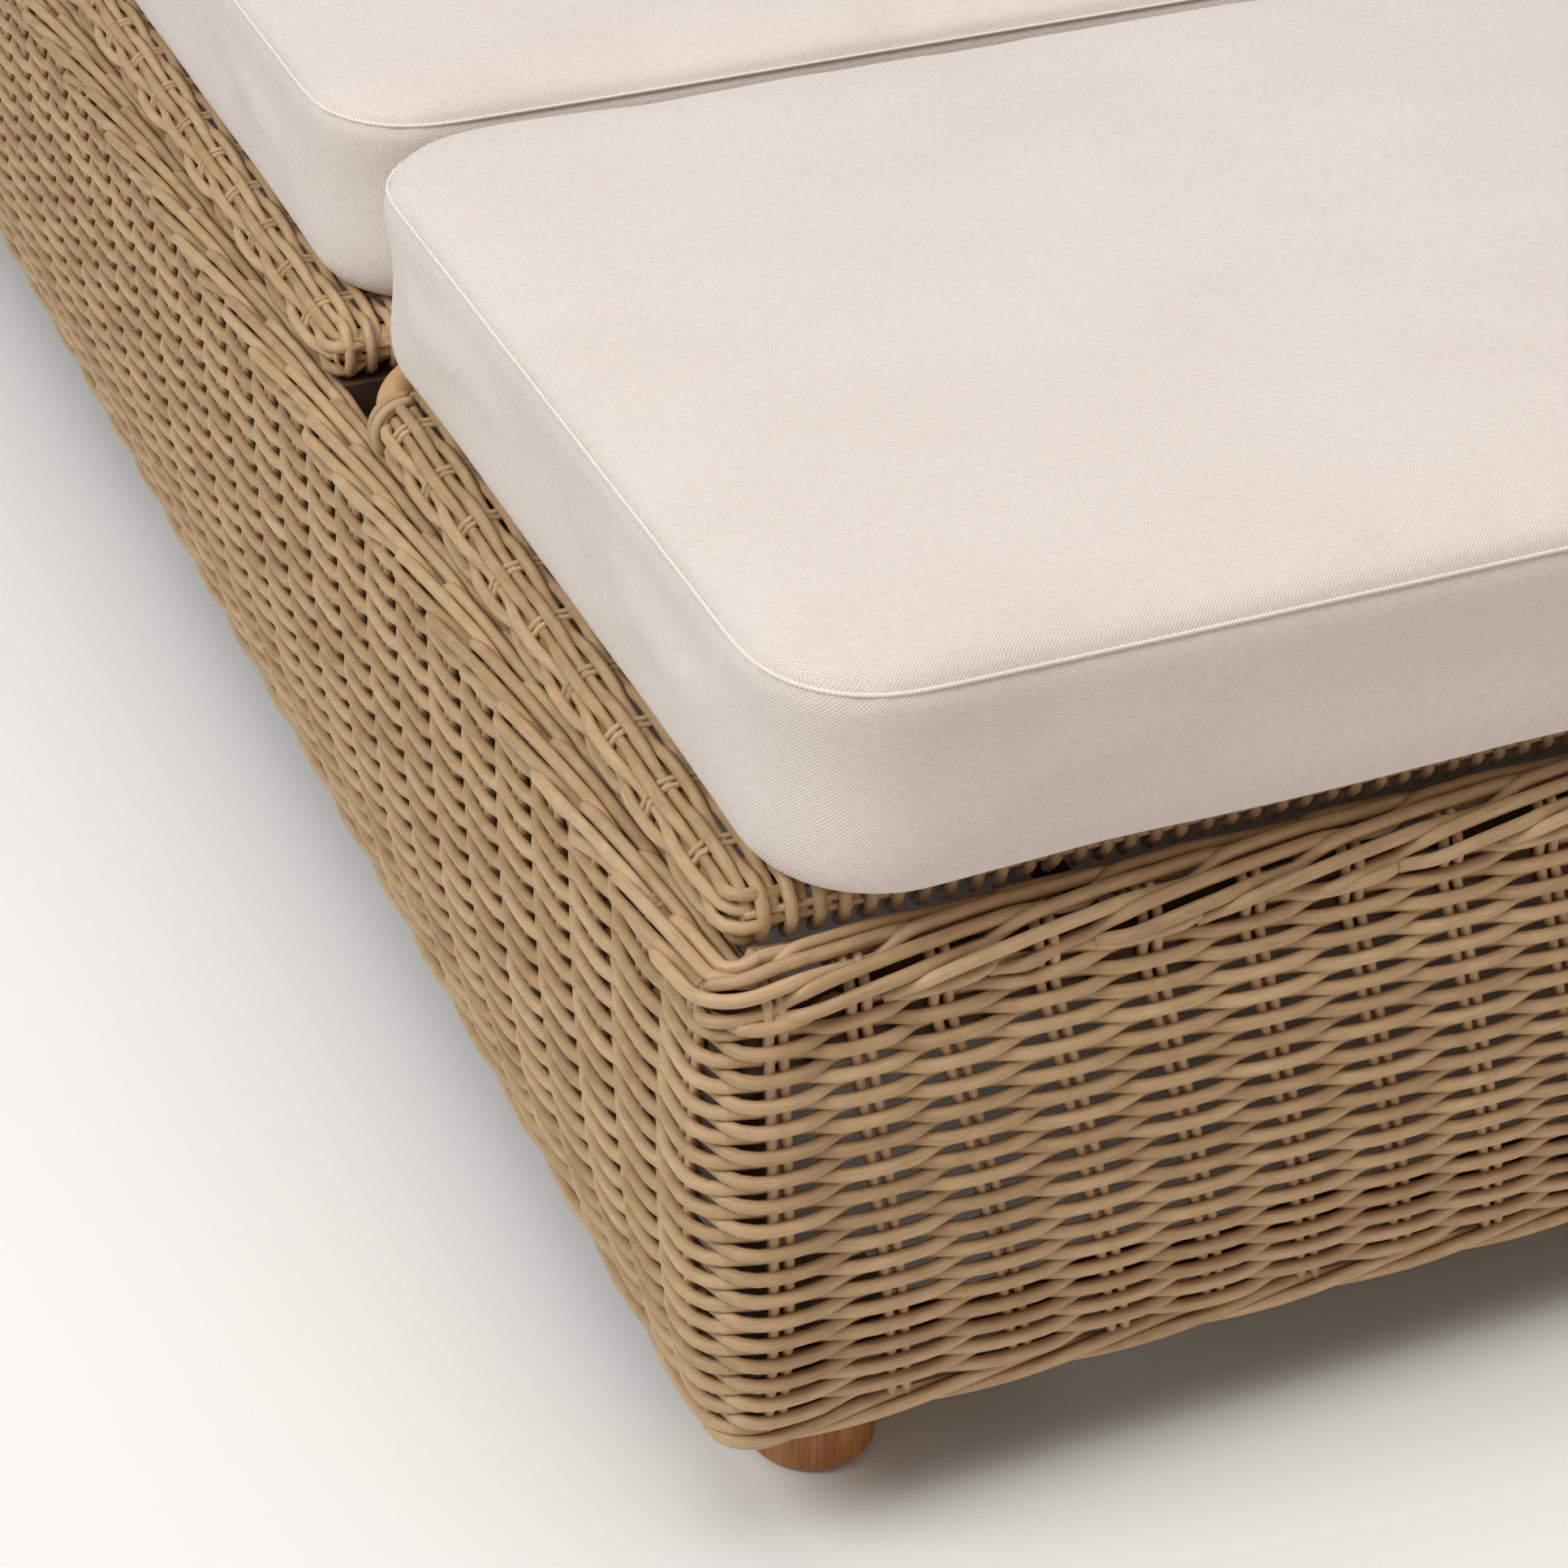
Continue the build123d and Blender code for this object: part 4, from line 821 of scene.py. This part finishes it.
def powder_coat(name, stops, roughness):
    """Powder-coated aluminium: an even satin skin with orange peel about 2 mm across."""
    material, tree, surface = new_material(name, {"Roughness": roughness, "IOR": 1.5})
    place = add_node(tree, "ShaderNodeTexCoord")
    # Clouds about 40 mm across, where the coat is a little thicker
    clouds = add_node(
        tree, "ShaderNodeTexNoise", {"Scale": 24.0, "Detail": 3.0}, {"Vector": (place, "Object")})
    set_colour(tree, surface, (clouds, "Fac"), stops)
    peel = add_node(
        tree, "ShaderNodeTexNoise", {"Scale": 500.0, "Detail": 1.0}, {"Vector": (place, "Object")})
    set_bump(tree, surface, (peel, "Fac"), 0.25, 0.0001)
    return material


def zinc_plate(name):
    """Bright zinc-plated steel: cool grey, with spangles about 5 mm across that change its gloss."""
    material, tree, surface = new_material(name, {"Metallic": 1.0, "Roughness": 0.35})
    place = add_node(tree, "ShaderNodeTexCoord")
    spangles = add_node(tree, "ShaderNodeTexVoronoi", {"Scale": 200.0}, {"Vector": (place, "Object")})
    set_colour(tree, surface, (spangles, "Distance"), ((0.0, "A9ABAC"), (1.0, "C3C5C6")))
    gloss = add_node(
        tree, "ShaderNodeMath", {"operation": "MULTIPLY_ADD", 1: 0.2, 2: 0.28},
        {0: (spangles, "Distance")})
    tree.links.new(gloss.outputs[0], surface.inputs["Roughness"])
    return material


def moulded_nylon(name):
    """Moulded black nylon with a fine spark-eroded grain, drawn 1 mm coarse so that it shows."""
    material, tree, surface = new_material(name, {"Roughness": 0.5, "IOR": 1.53})
    place = add_node(tree, "ShaderNodeTexCoord")
    grain = add_node(
        tree, "ShaderNodeTexNoise", {"Scale": 1000.0, "Detail": 1.0}, {"Vector": (place, "Object")})
    set_colour(tree, surface, (grain, "Fac"), ((0.3, "1B1B1C"), (0.7, "2A2A2B")))
    set_bump(tree, surface, (grain, "Fac"), 0.3, 0.0001)
    return material


def strand_material():
    """The wicker's material, made once."""
    found = bpy.data.materials.get("extruded_polyethylene_strand")
    return found or extruded_strand(
        "extruded_polyethylene_strand",
        ((0.12, "896B49"), (0.38, "AF9069"), (0.58, "C5A780"), (0.85, "DBC6A4")))


def outline(x0, x1, y0, y1, corner, inset):
    """A closed ring of points round a cushion: straight sides and round corners."""
    x0, x1, y0, y1 = x0 + inset, x1 - inset, y0 + inset, y1 - inset
    corner = corner - inset
    quarter = np.linspace(0, np.pi / 2, CORNER_POINTS)
    ring = []
    west, east, south, north = x0 + corner, x1 - corner, y0 + corner, y1 - corner
    for turn, (x, y) in enumerate(((east, south), (east, north), (west, north), (west, south))):
        angle = quarter + (turn - 1) * np.pi / 2
        ring.append(np.stack((x + corner * np.cos(angle), y + corner * np.sin(angle)), axis=-1))
    points = []
    for here, after in zip(ring, ring[1:] + ring[:1]):
        points.append(here)
        count = max(2, int(np.linalg.norm(after[0] - here[-1]) / OUTLINE_STEP))
        share = np.linspace(0, 1, count + 1)[1:-1, None]
        points.append(here[-1] * (1 - share) + after[0] * share)
    return np.concatenate(points)


def cushion_shell(name, span, settings):
    """A boxed cushion for the left lane: flat beneath, sides drawn in, top crowned inside its seam."""
    y0, y1 = span
    x0, x1 = -CUSHION_OUTER_X, -CUSHION_INNER_X
    middle = np.array([(x0 + x1) / 2, (y0 + y1) / 2])
    low, seam, top = CUSHION_LOW, CUSHION_SEAM, CUSHION_TOP
    corner = settings.corner
    # The profile up the sides, as (inset, height)
    profile = [
        (UNDER_ROUND * (1 - math.sin(turn)), low + UNDER_ROUND * (1 - math.cos(turn)))
        for turn in UNDER_TURNS]
    profile += [
        (settings.draw_in * (1 - math.cos(2 * math.pi * share)) / 2,
         low + UNDER_ROUND + share * (seam - low - UNDER_ROUND - SIDE_TOP_GAP))
        for share in SIDE_SHARES]
    profile += [(inset, seam + rise) for inset, rise in EDGE_STEPS]
    rings = []
    for inset, height in profile:
        ring = outline(x0, x1, y0, y1, corner, inset)
        rings.append(np.column_stack((ring, np.full(len(ring), height))))
    under, over = rings[0], rings[-1]
    lower, upper = [], []
    for share in FACE_SHARES:
        ring = under.copy()
        ring[:, :2] = middle + (ring[:, :2] - middle) * share
        lower.append(ring)
        ring = over.copy()
        ring[:, :2] = middle + (ring[:, :2] - middle) * share
        ring[:, 2] = over[:, 2] + (top - over[0, 2]) * (1 - share ** CROWN_POWER)
        upper.append(ring)
    rings = lower[::-1] + rings + upper
    size = len(rings[0])
    points = np.concatenate(rings + [[[*middle, low]], [[*middle, top]]])
    faces = []
    for level in range(len(rings) - 1):
        for here in range(size):
            after = (here + 1) % size
            a, b = level * size, (level + 1) * size
            faces.append((a + here, a + after, b + after, b + here))
    last = (len(rings) - 1) * size
    for here in range(size):
        after = (here + 1) % size
        faces.append((after, here, len(points) - 2))
        faces.append((last + here, last + after, len(points) - 1))
    mesh = bpy.data.meshes.new(name)
    mesh.from_pydata(points.tolist(), [], faces)
    mesh.validate()
    return new_object(name, mesh)


def baked(piece):
    """Replace the piece's mesh by its modified one and drop its modifiers."""
    graph = bpy.context.evaluated_depsgraph_get()
    mesh = bpy.data.meshes.new_from_object(piece.evaluated_get(graph))
    piece.modifiers.clear()
    old = piece.data
    mesh.name = old.name
    piece.data = mesh
    bpy.data.meshes.remove(old)


def mesh_points(mesh):
    """The vertices of a mesh as an array."""
    points = np.zeros(len(mesh.vertices) * 3, np.float32)
    mesh.vertices.foreach_get("co", points)
    return points.reshape(-1, 3).astype(float)


def swell(piece, settings):
    """Fill the cushion as cloth under pressure; no point moves further than the cap."""
    scene = bpy.context.scene
    remesh = piece.modifiers.new("Even", "REMESH")
    remesh.mode = "VOXEL"
    remesh.voxel_size = settings.voxel
    baked(piece)
    start = mesh_points(piece.data)
    cloth = piece.modifiers.new("Fill", "CLOTH")
    cloth.settings.quality = 4
    cloth.settings.tension_stiffness = 40
    cloth.settings.compression_stiffness = 40
    cloth.settings.shear_stiffness = 20
    cloth.settings.bending_stiffness = 8
    cloth.settings.use_pressure = True
    cloth.settings.uniform_pressure_force = settings.pressure
    cloth.settings.effector_weights.gravity = 0
    for number in range(1, FILL_FRAMES + 1):
        scene.frame_set(number)
    graph = bpy.context.evaluated_depsgraph_get()
    moved = mesh_points(piece.evaluated_get(graph).data) - start
    piece.modifiers.clear()
    scene.frame_set(1)
    length = np.linalg.norm(moved, axis=1)[:, None] + 1e-9
    points = start + moved * settings.cap * np.tanh(length / settings.cap) / length
    piece.data.vertices.foreach_set("co", points.astype(np.float32).ravel())
    even = piece.modifiers.new("Even", "SMOOTH")
    even.factor = 0.5
    even.iterations = 4
    fine = piece.modifiers.new("Fine", "SUBSURF")
    fine.levels = fine.render_levels = 1
    baked(piece)


def fit_cushion(piece, span):
    """Lay the cushion flat on its deck and keep it off its neighbours."""
    points = mesh_points(piece.data)
    points[:, 2] = np.maximum(points[:, 2], CUSHION_LOW)
    points[:, 0] = np.clip(
        points[:, 0], -CUSHION_OUTER_X - SWELL_OUTWARD, -CUSHION_INNER_X + SWELL_INWARD)
    points[:, 1] = np.clip(points[:, 1], span[0] - SWELL_INWARD, span[1] + SWELL_INWARD)
    piece.data.vertices.foreach_set("co", points.astype(np.float32).ravel())


def sew_seam(piece, span, settings, material):
    """Lay the seam of the top panel along the cushion's edge, with the cloth drawn in beside it."""
    ring = outline(-CUSHION_OUTER_X, -CUSHION_INNER_X, *span, settings.corner, 0.0)
    inner = outline(-CUSHION_OUTER_X, -CUSHION_INNER_X, *span, settings.corner, DRAW_LOOK)
    way = ring - inner
    way /= np.linalg.norm(way, axis=1)[:, None]
    graph = bpy.context.evaluated_depsgraph_get()
    tree = BVHTree.FromObject(piece, graph)
    line, outs = [], []
    for (x, y), (a, b) in zip(ring, way):
        aim = Vector((-a, -b, -SEAM_AIM_DOWN)).normalized()
        start = Vector((x, y, CUSHION_SEAM)) - aim * SEAM_AIM_FROM
        place = tree.ray_cast(start, aim)[0]
        if place is None:
            raise RuntimeError("the seam missed the cushion")
        line.append(place)
        outs.append(-aim)
    line, outs = np.array(line), np.array(outs)
    for turn in range(SEAM_SMOOTHINGS):
        line = (np.roll(line, 1, axis=0) + 2 * line + np.roll(line, -1, axis=0)) / 4
    line = np.concatenate((line[-1:], line, line[:2]))
    outs = np.concatenate((outs[-1:], outs, outs[:2]))
    seam = Strands()
    proud = line + outs * settings.seam * SEAM_PROUD_SHARE
    seam.add(proud, outs, settings.seam / 2, 0.0, sides=SEAM_SIDES, joined=(True, True))
    cord = seam.object(piece.name + "_seam", material)
    points = mesh_points(piece.data)
    dense = np.concatenate([line[:-1] * (1 - share) + line[1:] * share for share in DRAW_SHARES])
    tree = KDTree(len(dense))
    for number, place in enumerate(dense):
        tree.insert(place, number)
    tree.balance()
    near = np.full(len(points), 1.0)
    for number in np.nonzero(points[:, 2] > CUSHION_SEAM - DRAW_LOOK)[0]:
        near[number] = tree.find(points[number])[2]
    middle = np.array(
        [(-CUSHION_OUTER_X - CUSHION_INNER_X) / 2, sum(span) / 2, (CUSHION_LOW + CUSHION_SEAM) / 2])
    pull = middle - points
    pull[:, 2] = np.where(points[:, 2] > middle[2], DRAW_DOWN, 0.0)
    pull /= np.linalg.norm(pull, axis=1)[:, None]
    points += pull * (DRAW_DEPTH * np.exp(-(near / DRAW_REACH) ** 2))[:, None]
    piece.data.vertices.foreach_set("co", points.astype(np.float32).ravel())
    bpy.ops.object.select_all(action="DESELECT")
    piece.select_set(True)
    cord.select_set(True)
    bpy.context.view_layer.objects.active = piece
    bpy.ops.object.join()


class LoungerWeave(bpy.types.PropertyGroup):
    strand: FloatProperty(
        name="Strand", description="Thickness of the strands of the wall and rim",
        default=0.0064, unit="LENGTH")
    stake: FloatProperty(
        name="Stake", description="Thickness of the upright stakes", default=0.0050, unit="LENGTH")
    panel_strand: FloatProperty(
        name="Panel strand", description="Thickness of the strands of the panels",
        default=0.0060, unit="LENGTH")
    steps: IntProperty(
        name="Steps", description="Segments of a row between two pairs of stakes",
        default=7, min=4, max=12)


class LoungerCushion(bpy.types.PropertyGroup):
    corner: FloatProperty(
        name="Corner", description="Radius of the cushion's corners seen from above",
        default=0.062, unit="LENGTH")
    draw_in: FloatProperty(
        name="Draw-in", description="How far the sides pull in at mid height",
        default=0.0035, unit="LENGTH")
    seam: FloatProperty(
        name="Seam", description="Thickness of the seam along the top edge", default=0.0018, unit="LENGTH")
    voxel: FloatProperty(
        name="Voxel", description="Mesh size for the filling", default=0.0075, unit="LENGTH")
    pressure: FloatProperty(
        name="Pressure", description="Pressure of the foam inside", default=4.0)
    cap: FloatProperty(
        name="Cap", description="Furthest that a point may swell", default=0.005, unit="LENGTH")
    thread: FloatProperty(
        name="Thread", description="Spacing of the cover's threads", default=0.0017, unit="LENGTH")


class LoungerStage(bpy.types.PropertyGroup):
    floor: FloatVectorProperty(
        name="Floor", description="Colour of the floor",
        default=linear("F0F1EE"), subtype="COLOR", min=0, max=1)
    key: FloatProperty(name="Key", description="Power of the main lamp in watts", default=170.0)
    fill: FloatProperty(name="Fill", description="Strength of the light all round", default=0.18)


def place_piece(piece, body, slot, *nodes):
    """Put a piece on its body, in place of the solids it stands for."""
    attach(piece, body)
    if nodes:
        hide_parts(*nodes)
    return piece


class LOUNGER_OT_skirt(bpy.types.Operator):
    """Weave the four sides of the base: rows over and under pairs of upright stakes"""
    bl_idname = "lounger.skirt"
    bl_label = "Weave skirt"

    def execute(self, context):
        settings = context.scene.lounger_weave
        for side, name in enumerate(SIDE_NAMES):
            strands = Strands()
            for index in range(SKIRT_ROWS):
                skirt_row(strands, index, side, settings, np.random.default_rng(ROWS_SEED + index))
            random = np.random.default_rng(STAKES_SEED + side)
            for pair in range(FIRST[side], FIRST[side] + SPACES[side] + 1):
                wall_stake(strands, pair, settings, random)
            piece = strands.object(f"woven_skirt_{name}", strand_material())
            place_piece(piece, "base", "wicker", f"skirt_{name}")
        return {"FINISHED"}


class LOUNGER_OT_rims(bpy.types.Operator):
    """Plait the rim over the top rail and twist the rope under the skirt"""
    bl_idname = "lounger.rims"
    bl_label = "Plait rims"

    def execute(self, context):
        settings = context.scene.lounger_weave
        for side, name in enumerate(SIDE_NAMES):
            strands = Strands()
            for start in range(FIRST[side] - RIM_SPACES - 1, FIRST[side] + SPACES[side] + 2):
                rim_strand(strands, start, side, settings)
            piece = strands.object(f"plaited_rim_{name}", strand_material())
            place_piece(piece, "base", "wicker", f"top_border_{name}")
            strands = Strands()
            foot_rope(strands, side, settings, np.random.default_rng(ROPES_SEED + side))
            piece = strands.object(f"twisted_foot_{name}", strand_material())
            place_piece(piece, "base", "wicker", f"foot_border_{name}")
        return {"FINISHED"}


class LOUNGER_OT_panels(bpy.types.Operator):
    """Weave the six panels round their tubes"""
    bl_idname = "lounger.panels"
    bl_label = "Weave panels"

    def execute(self, context):
        settings = context.scene.lounger_weave
        for number, (node, (body, sheet)) in enumerate(panels().items()):
            piece = sheet.weave(f"woven_{node}", settings, strand_material(), PANELS_SEED + number)
            place_piece(piece, body, "wicker", node)
        return {"FINISHED"}


class LOUNGER_OT_cushions(bpy.types.Operator):
    """Sew and fill the six cushions"""
    bl_idname = "lounger.cushions"
    bl_label = "Make cushions"

    def execute(self, context):
        settings = context.scene.lounger_cushion
        cloth = woven_polyester(
            "woven_outdoor_polyester", settings.thread,
            ((0.10, "BFB1A6"), (0.45, "DACFC7"), (0.80, "EAE1DB")))
        thread = woven_polyester(
            "folded_polyester_seam", settings.thread,
            ((0.10, "D9CEC4"), (0.80, "F4EEE9")))
        for kind, span in CUSHION_SPANS.items():
            piece = cushion_shell(f"cushion_{kind}_left", span, settings)
            swell(piece, settings)
            fit_cushion(piece, span)
            piece.data.materials.clear()
            piece.data.materials.append(cloth)
            sew_seam(piece, span, settings, thread)
            piece.data.shade_smooth()
            twin = new_object(f"cushion_{kind}_right", piece.data.copy())
            twin.data.transform(Matrix.Scale(-1, 4, (1, 0, 0)))
            twin.data.flip_normals()
            for lane, one in (("left", piece), ("right", twin)):
                body = "base" if kind == "seat" else f"{kind}_panel_{lane}"
                place_piece(one, body, "cushion", f"{kind}_cushion_{lane}")
                if kind != "seat":
                    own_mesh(one)
        return {"FINISHED"}


class LOUNGER_OT_finishes(bpy.types.Operator):
    """Give the frame, legs and fittings their finishes"""
    bl_idname = "lounger.finishes"
    bl_label = "Finish frame and legs"

    def execute(self, context):
        brown = powder_coat("powder_coated_aluminium_brown", ((0.3, "4A3826"), (0.7, "5A452F")), 0.55)
        tan = powder_coat("powder_coated_aluminium_tan", ((0.3, "C49C6C"), (0.7, "D3AE7E")), 0.36)
        teak = oiled_wood(
            "oiled_teak",
            ((0.30, "5C3417"), (0.55, "8A5228"), (0.75, "A8703C"), (0.95, "BC8650")), "Z", 0.42)
        runner = oiled_wood(
            "oiled_hardwood", ((0.30, "6A4526"), (0.60, "8F6238"), (0.95, "AD7F4C")), "Y", 0.5)
        zinc = zinc_plate("zinc_plated_steel")
        nylon = moulded_nylon("moulded_nylon_black")
        finish = {
            "legs": teak, "centre_runner": runner, "leg_glides": nylon,
            "leg_plates": zinc, "leg_studs": zinc, "racks": zinc, "rack_screws": zinc,
            "hinge_clips": zinc, "clip_screws": zinc, "seat_screws": zinc,
        }
        for name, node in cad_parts.items():
            if "_frame_" in name:
                material = tan
            elif "_prop_" in name:
                material = zinc
            else:
                material = finish.get(name, brown)
            if not node.material_slots:
                node.data.materials.append(material)
            for slot in node.material_slots:
                slot.material = material
        return {"FINISHED"}


class LOUNGER_OT_stage(bpy.types.Operator):
    """Set up the pale floor, the soft studio light and the camera"""
    bl_idname = "lounger.stage"
    bl_label = "Set stage"

    def execute(self, context):
        scene = context.scene
        settings = scene.lounger_stage
        mesh = bpy.data.meshes.new("floor")
        corners = [(x * FLOOR_HALF, y * FLOOR_HALF, 0) for x, y in ((-1, -1), (1, -1), (1, 1), (-1, 1))]
        mesh.from_pydata(corners, [], [(0, 1, 2, 3)])
        # Matt studio paint, even all over
        paint = new_material(
            "painted_studio_floor", {"Roughness": 0.9, "Base Color": (*settings.floor, 1.0)})[0]
        mesh.materials.append(paint)
        new_object("floor", mesh)
        world = bpy.data.worlds.new("studio")
        world.use_nodes = True
        light = world.node_tree.nodes["Background"].inputs
        light["Color"].default_value = (*linear("FBFCFD"), 1.0)
        light["Strength"].default_value = settings.fill
        scene.world = world
        lamps = (
            ("key", (-4.4, -1.2, 4.2), 2.8, settings.key, "FFFFFF"),
            ("top", (-0.4, -1.0, 4.2), 4.4, settings.key * 0.60, "FFFFFF"),
            ("bounce", (0.6, -5.0, 2.0), 3.0, settings.key * 0.17, "FFD9B8"),
            ("back", (4.6, 3.4, 3.0), 3.0, settings.key * 0.45, "FFFFFF"))
        for name, place, size, power, colour in lamps:
            data = bpy.data.lights.new(name, "AREA")
            data.shape = "DISK"
            data.size = size
            data.energy = power
            data.color = linear(colour)
            lamp = new_object(name, data)
            lamp.location = place
            aim = LAMPS_AIM - Vector(place)
            lamp.rotation_euler = aim.to_track_quat("-Z", "Y").to_euler()
        data = bpy.data.cameras.new("camera")
        data.lens = CAMERA_LENS
        data.sensor_width = SENSOR
        camera = new_object("camera", data)
        camera.location = CAMERA_PLACE
        camera.rotation_euler = (CAMERA_TILT, 0.0, CAMERA_HEADING)
        scene.camera = camera
        scene.view_settings.view_transform = "Standard"
        return {"FINISHED"}


class LOUNGER_PT_panel(bpy.types.Panel):
    """The lounger's sizes and steps"""
    bl_idname = "LOUNGER_PT_panel"
    bl_label = "Lounger"
    bl_space_type = "VIEW_3D"
    bl_region_type = "UI"
    bl_category = "Lounger"

    def draw(self, context):
        scene = context.scene
        for group in (scene.lounger_weave, scene.lounger_cushion, scene.lounger_stage):
            for name in group.__annotations__:
                self.layout.prop(group, name)
        for step in STEPS:
            self.layout.operator(step.bl_idname)


GROUPS = {
    "lounger_weave": LoungerWeave,
    "lounger_cushion": LoungerCushion,
    "lounger_stage": LoungerStage,
}
STEPS = (
    LOUNGER_OT_stage, LOUNGER_OT_skirt, LOUNGER_OT_rims, LOUNGER_OT_panels,
    LOUNGER_OT_cushions, LOUNGER_OT_finishes)


def register():
    for group in GROUPS.values():
        bpy.utils.register_class(group)
    for name, group in GROUPS.items():
        setattr(bpy.types.Scene, name, PointerProperty(type=group))
    for step in STEPS + (LOUNGER_PT_panel,):
        bpy.utils.register_class(step)


def unregister():
    for step in STEPS + (LOUNGER_PT_panel,):
        bpy.utils.unregister_class(step)
    for name, group in GROUPS.items():
        delattr(bpy.types.Scene, name)
        bpy.utils.unregister_class(group)


def main():
    register()
    bpy.ops.lounger.stage()
    bpy.ops.lounger.skirt()
    bpy.ops.lounger.rims()
    bpy.ops.lounger.panels()
    bpy.ops.lounger.cushions()
    bpy.ops.lounger.finishes()


if __name__ == "__main__":
    main()
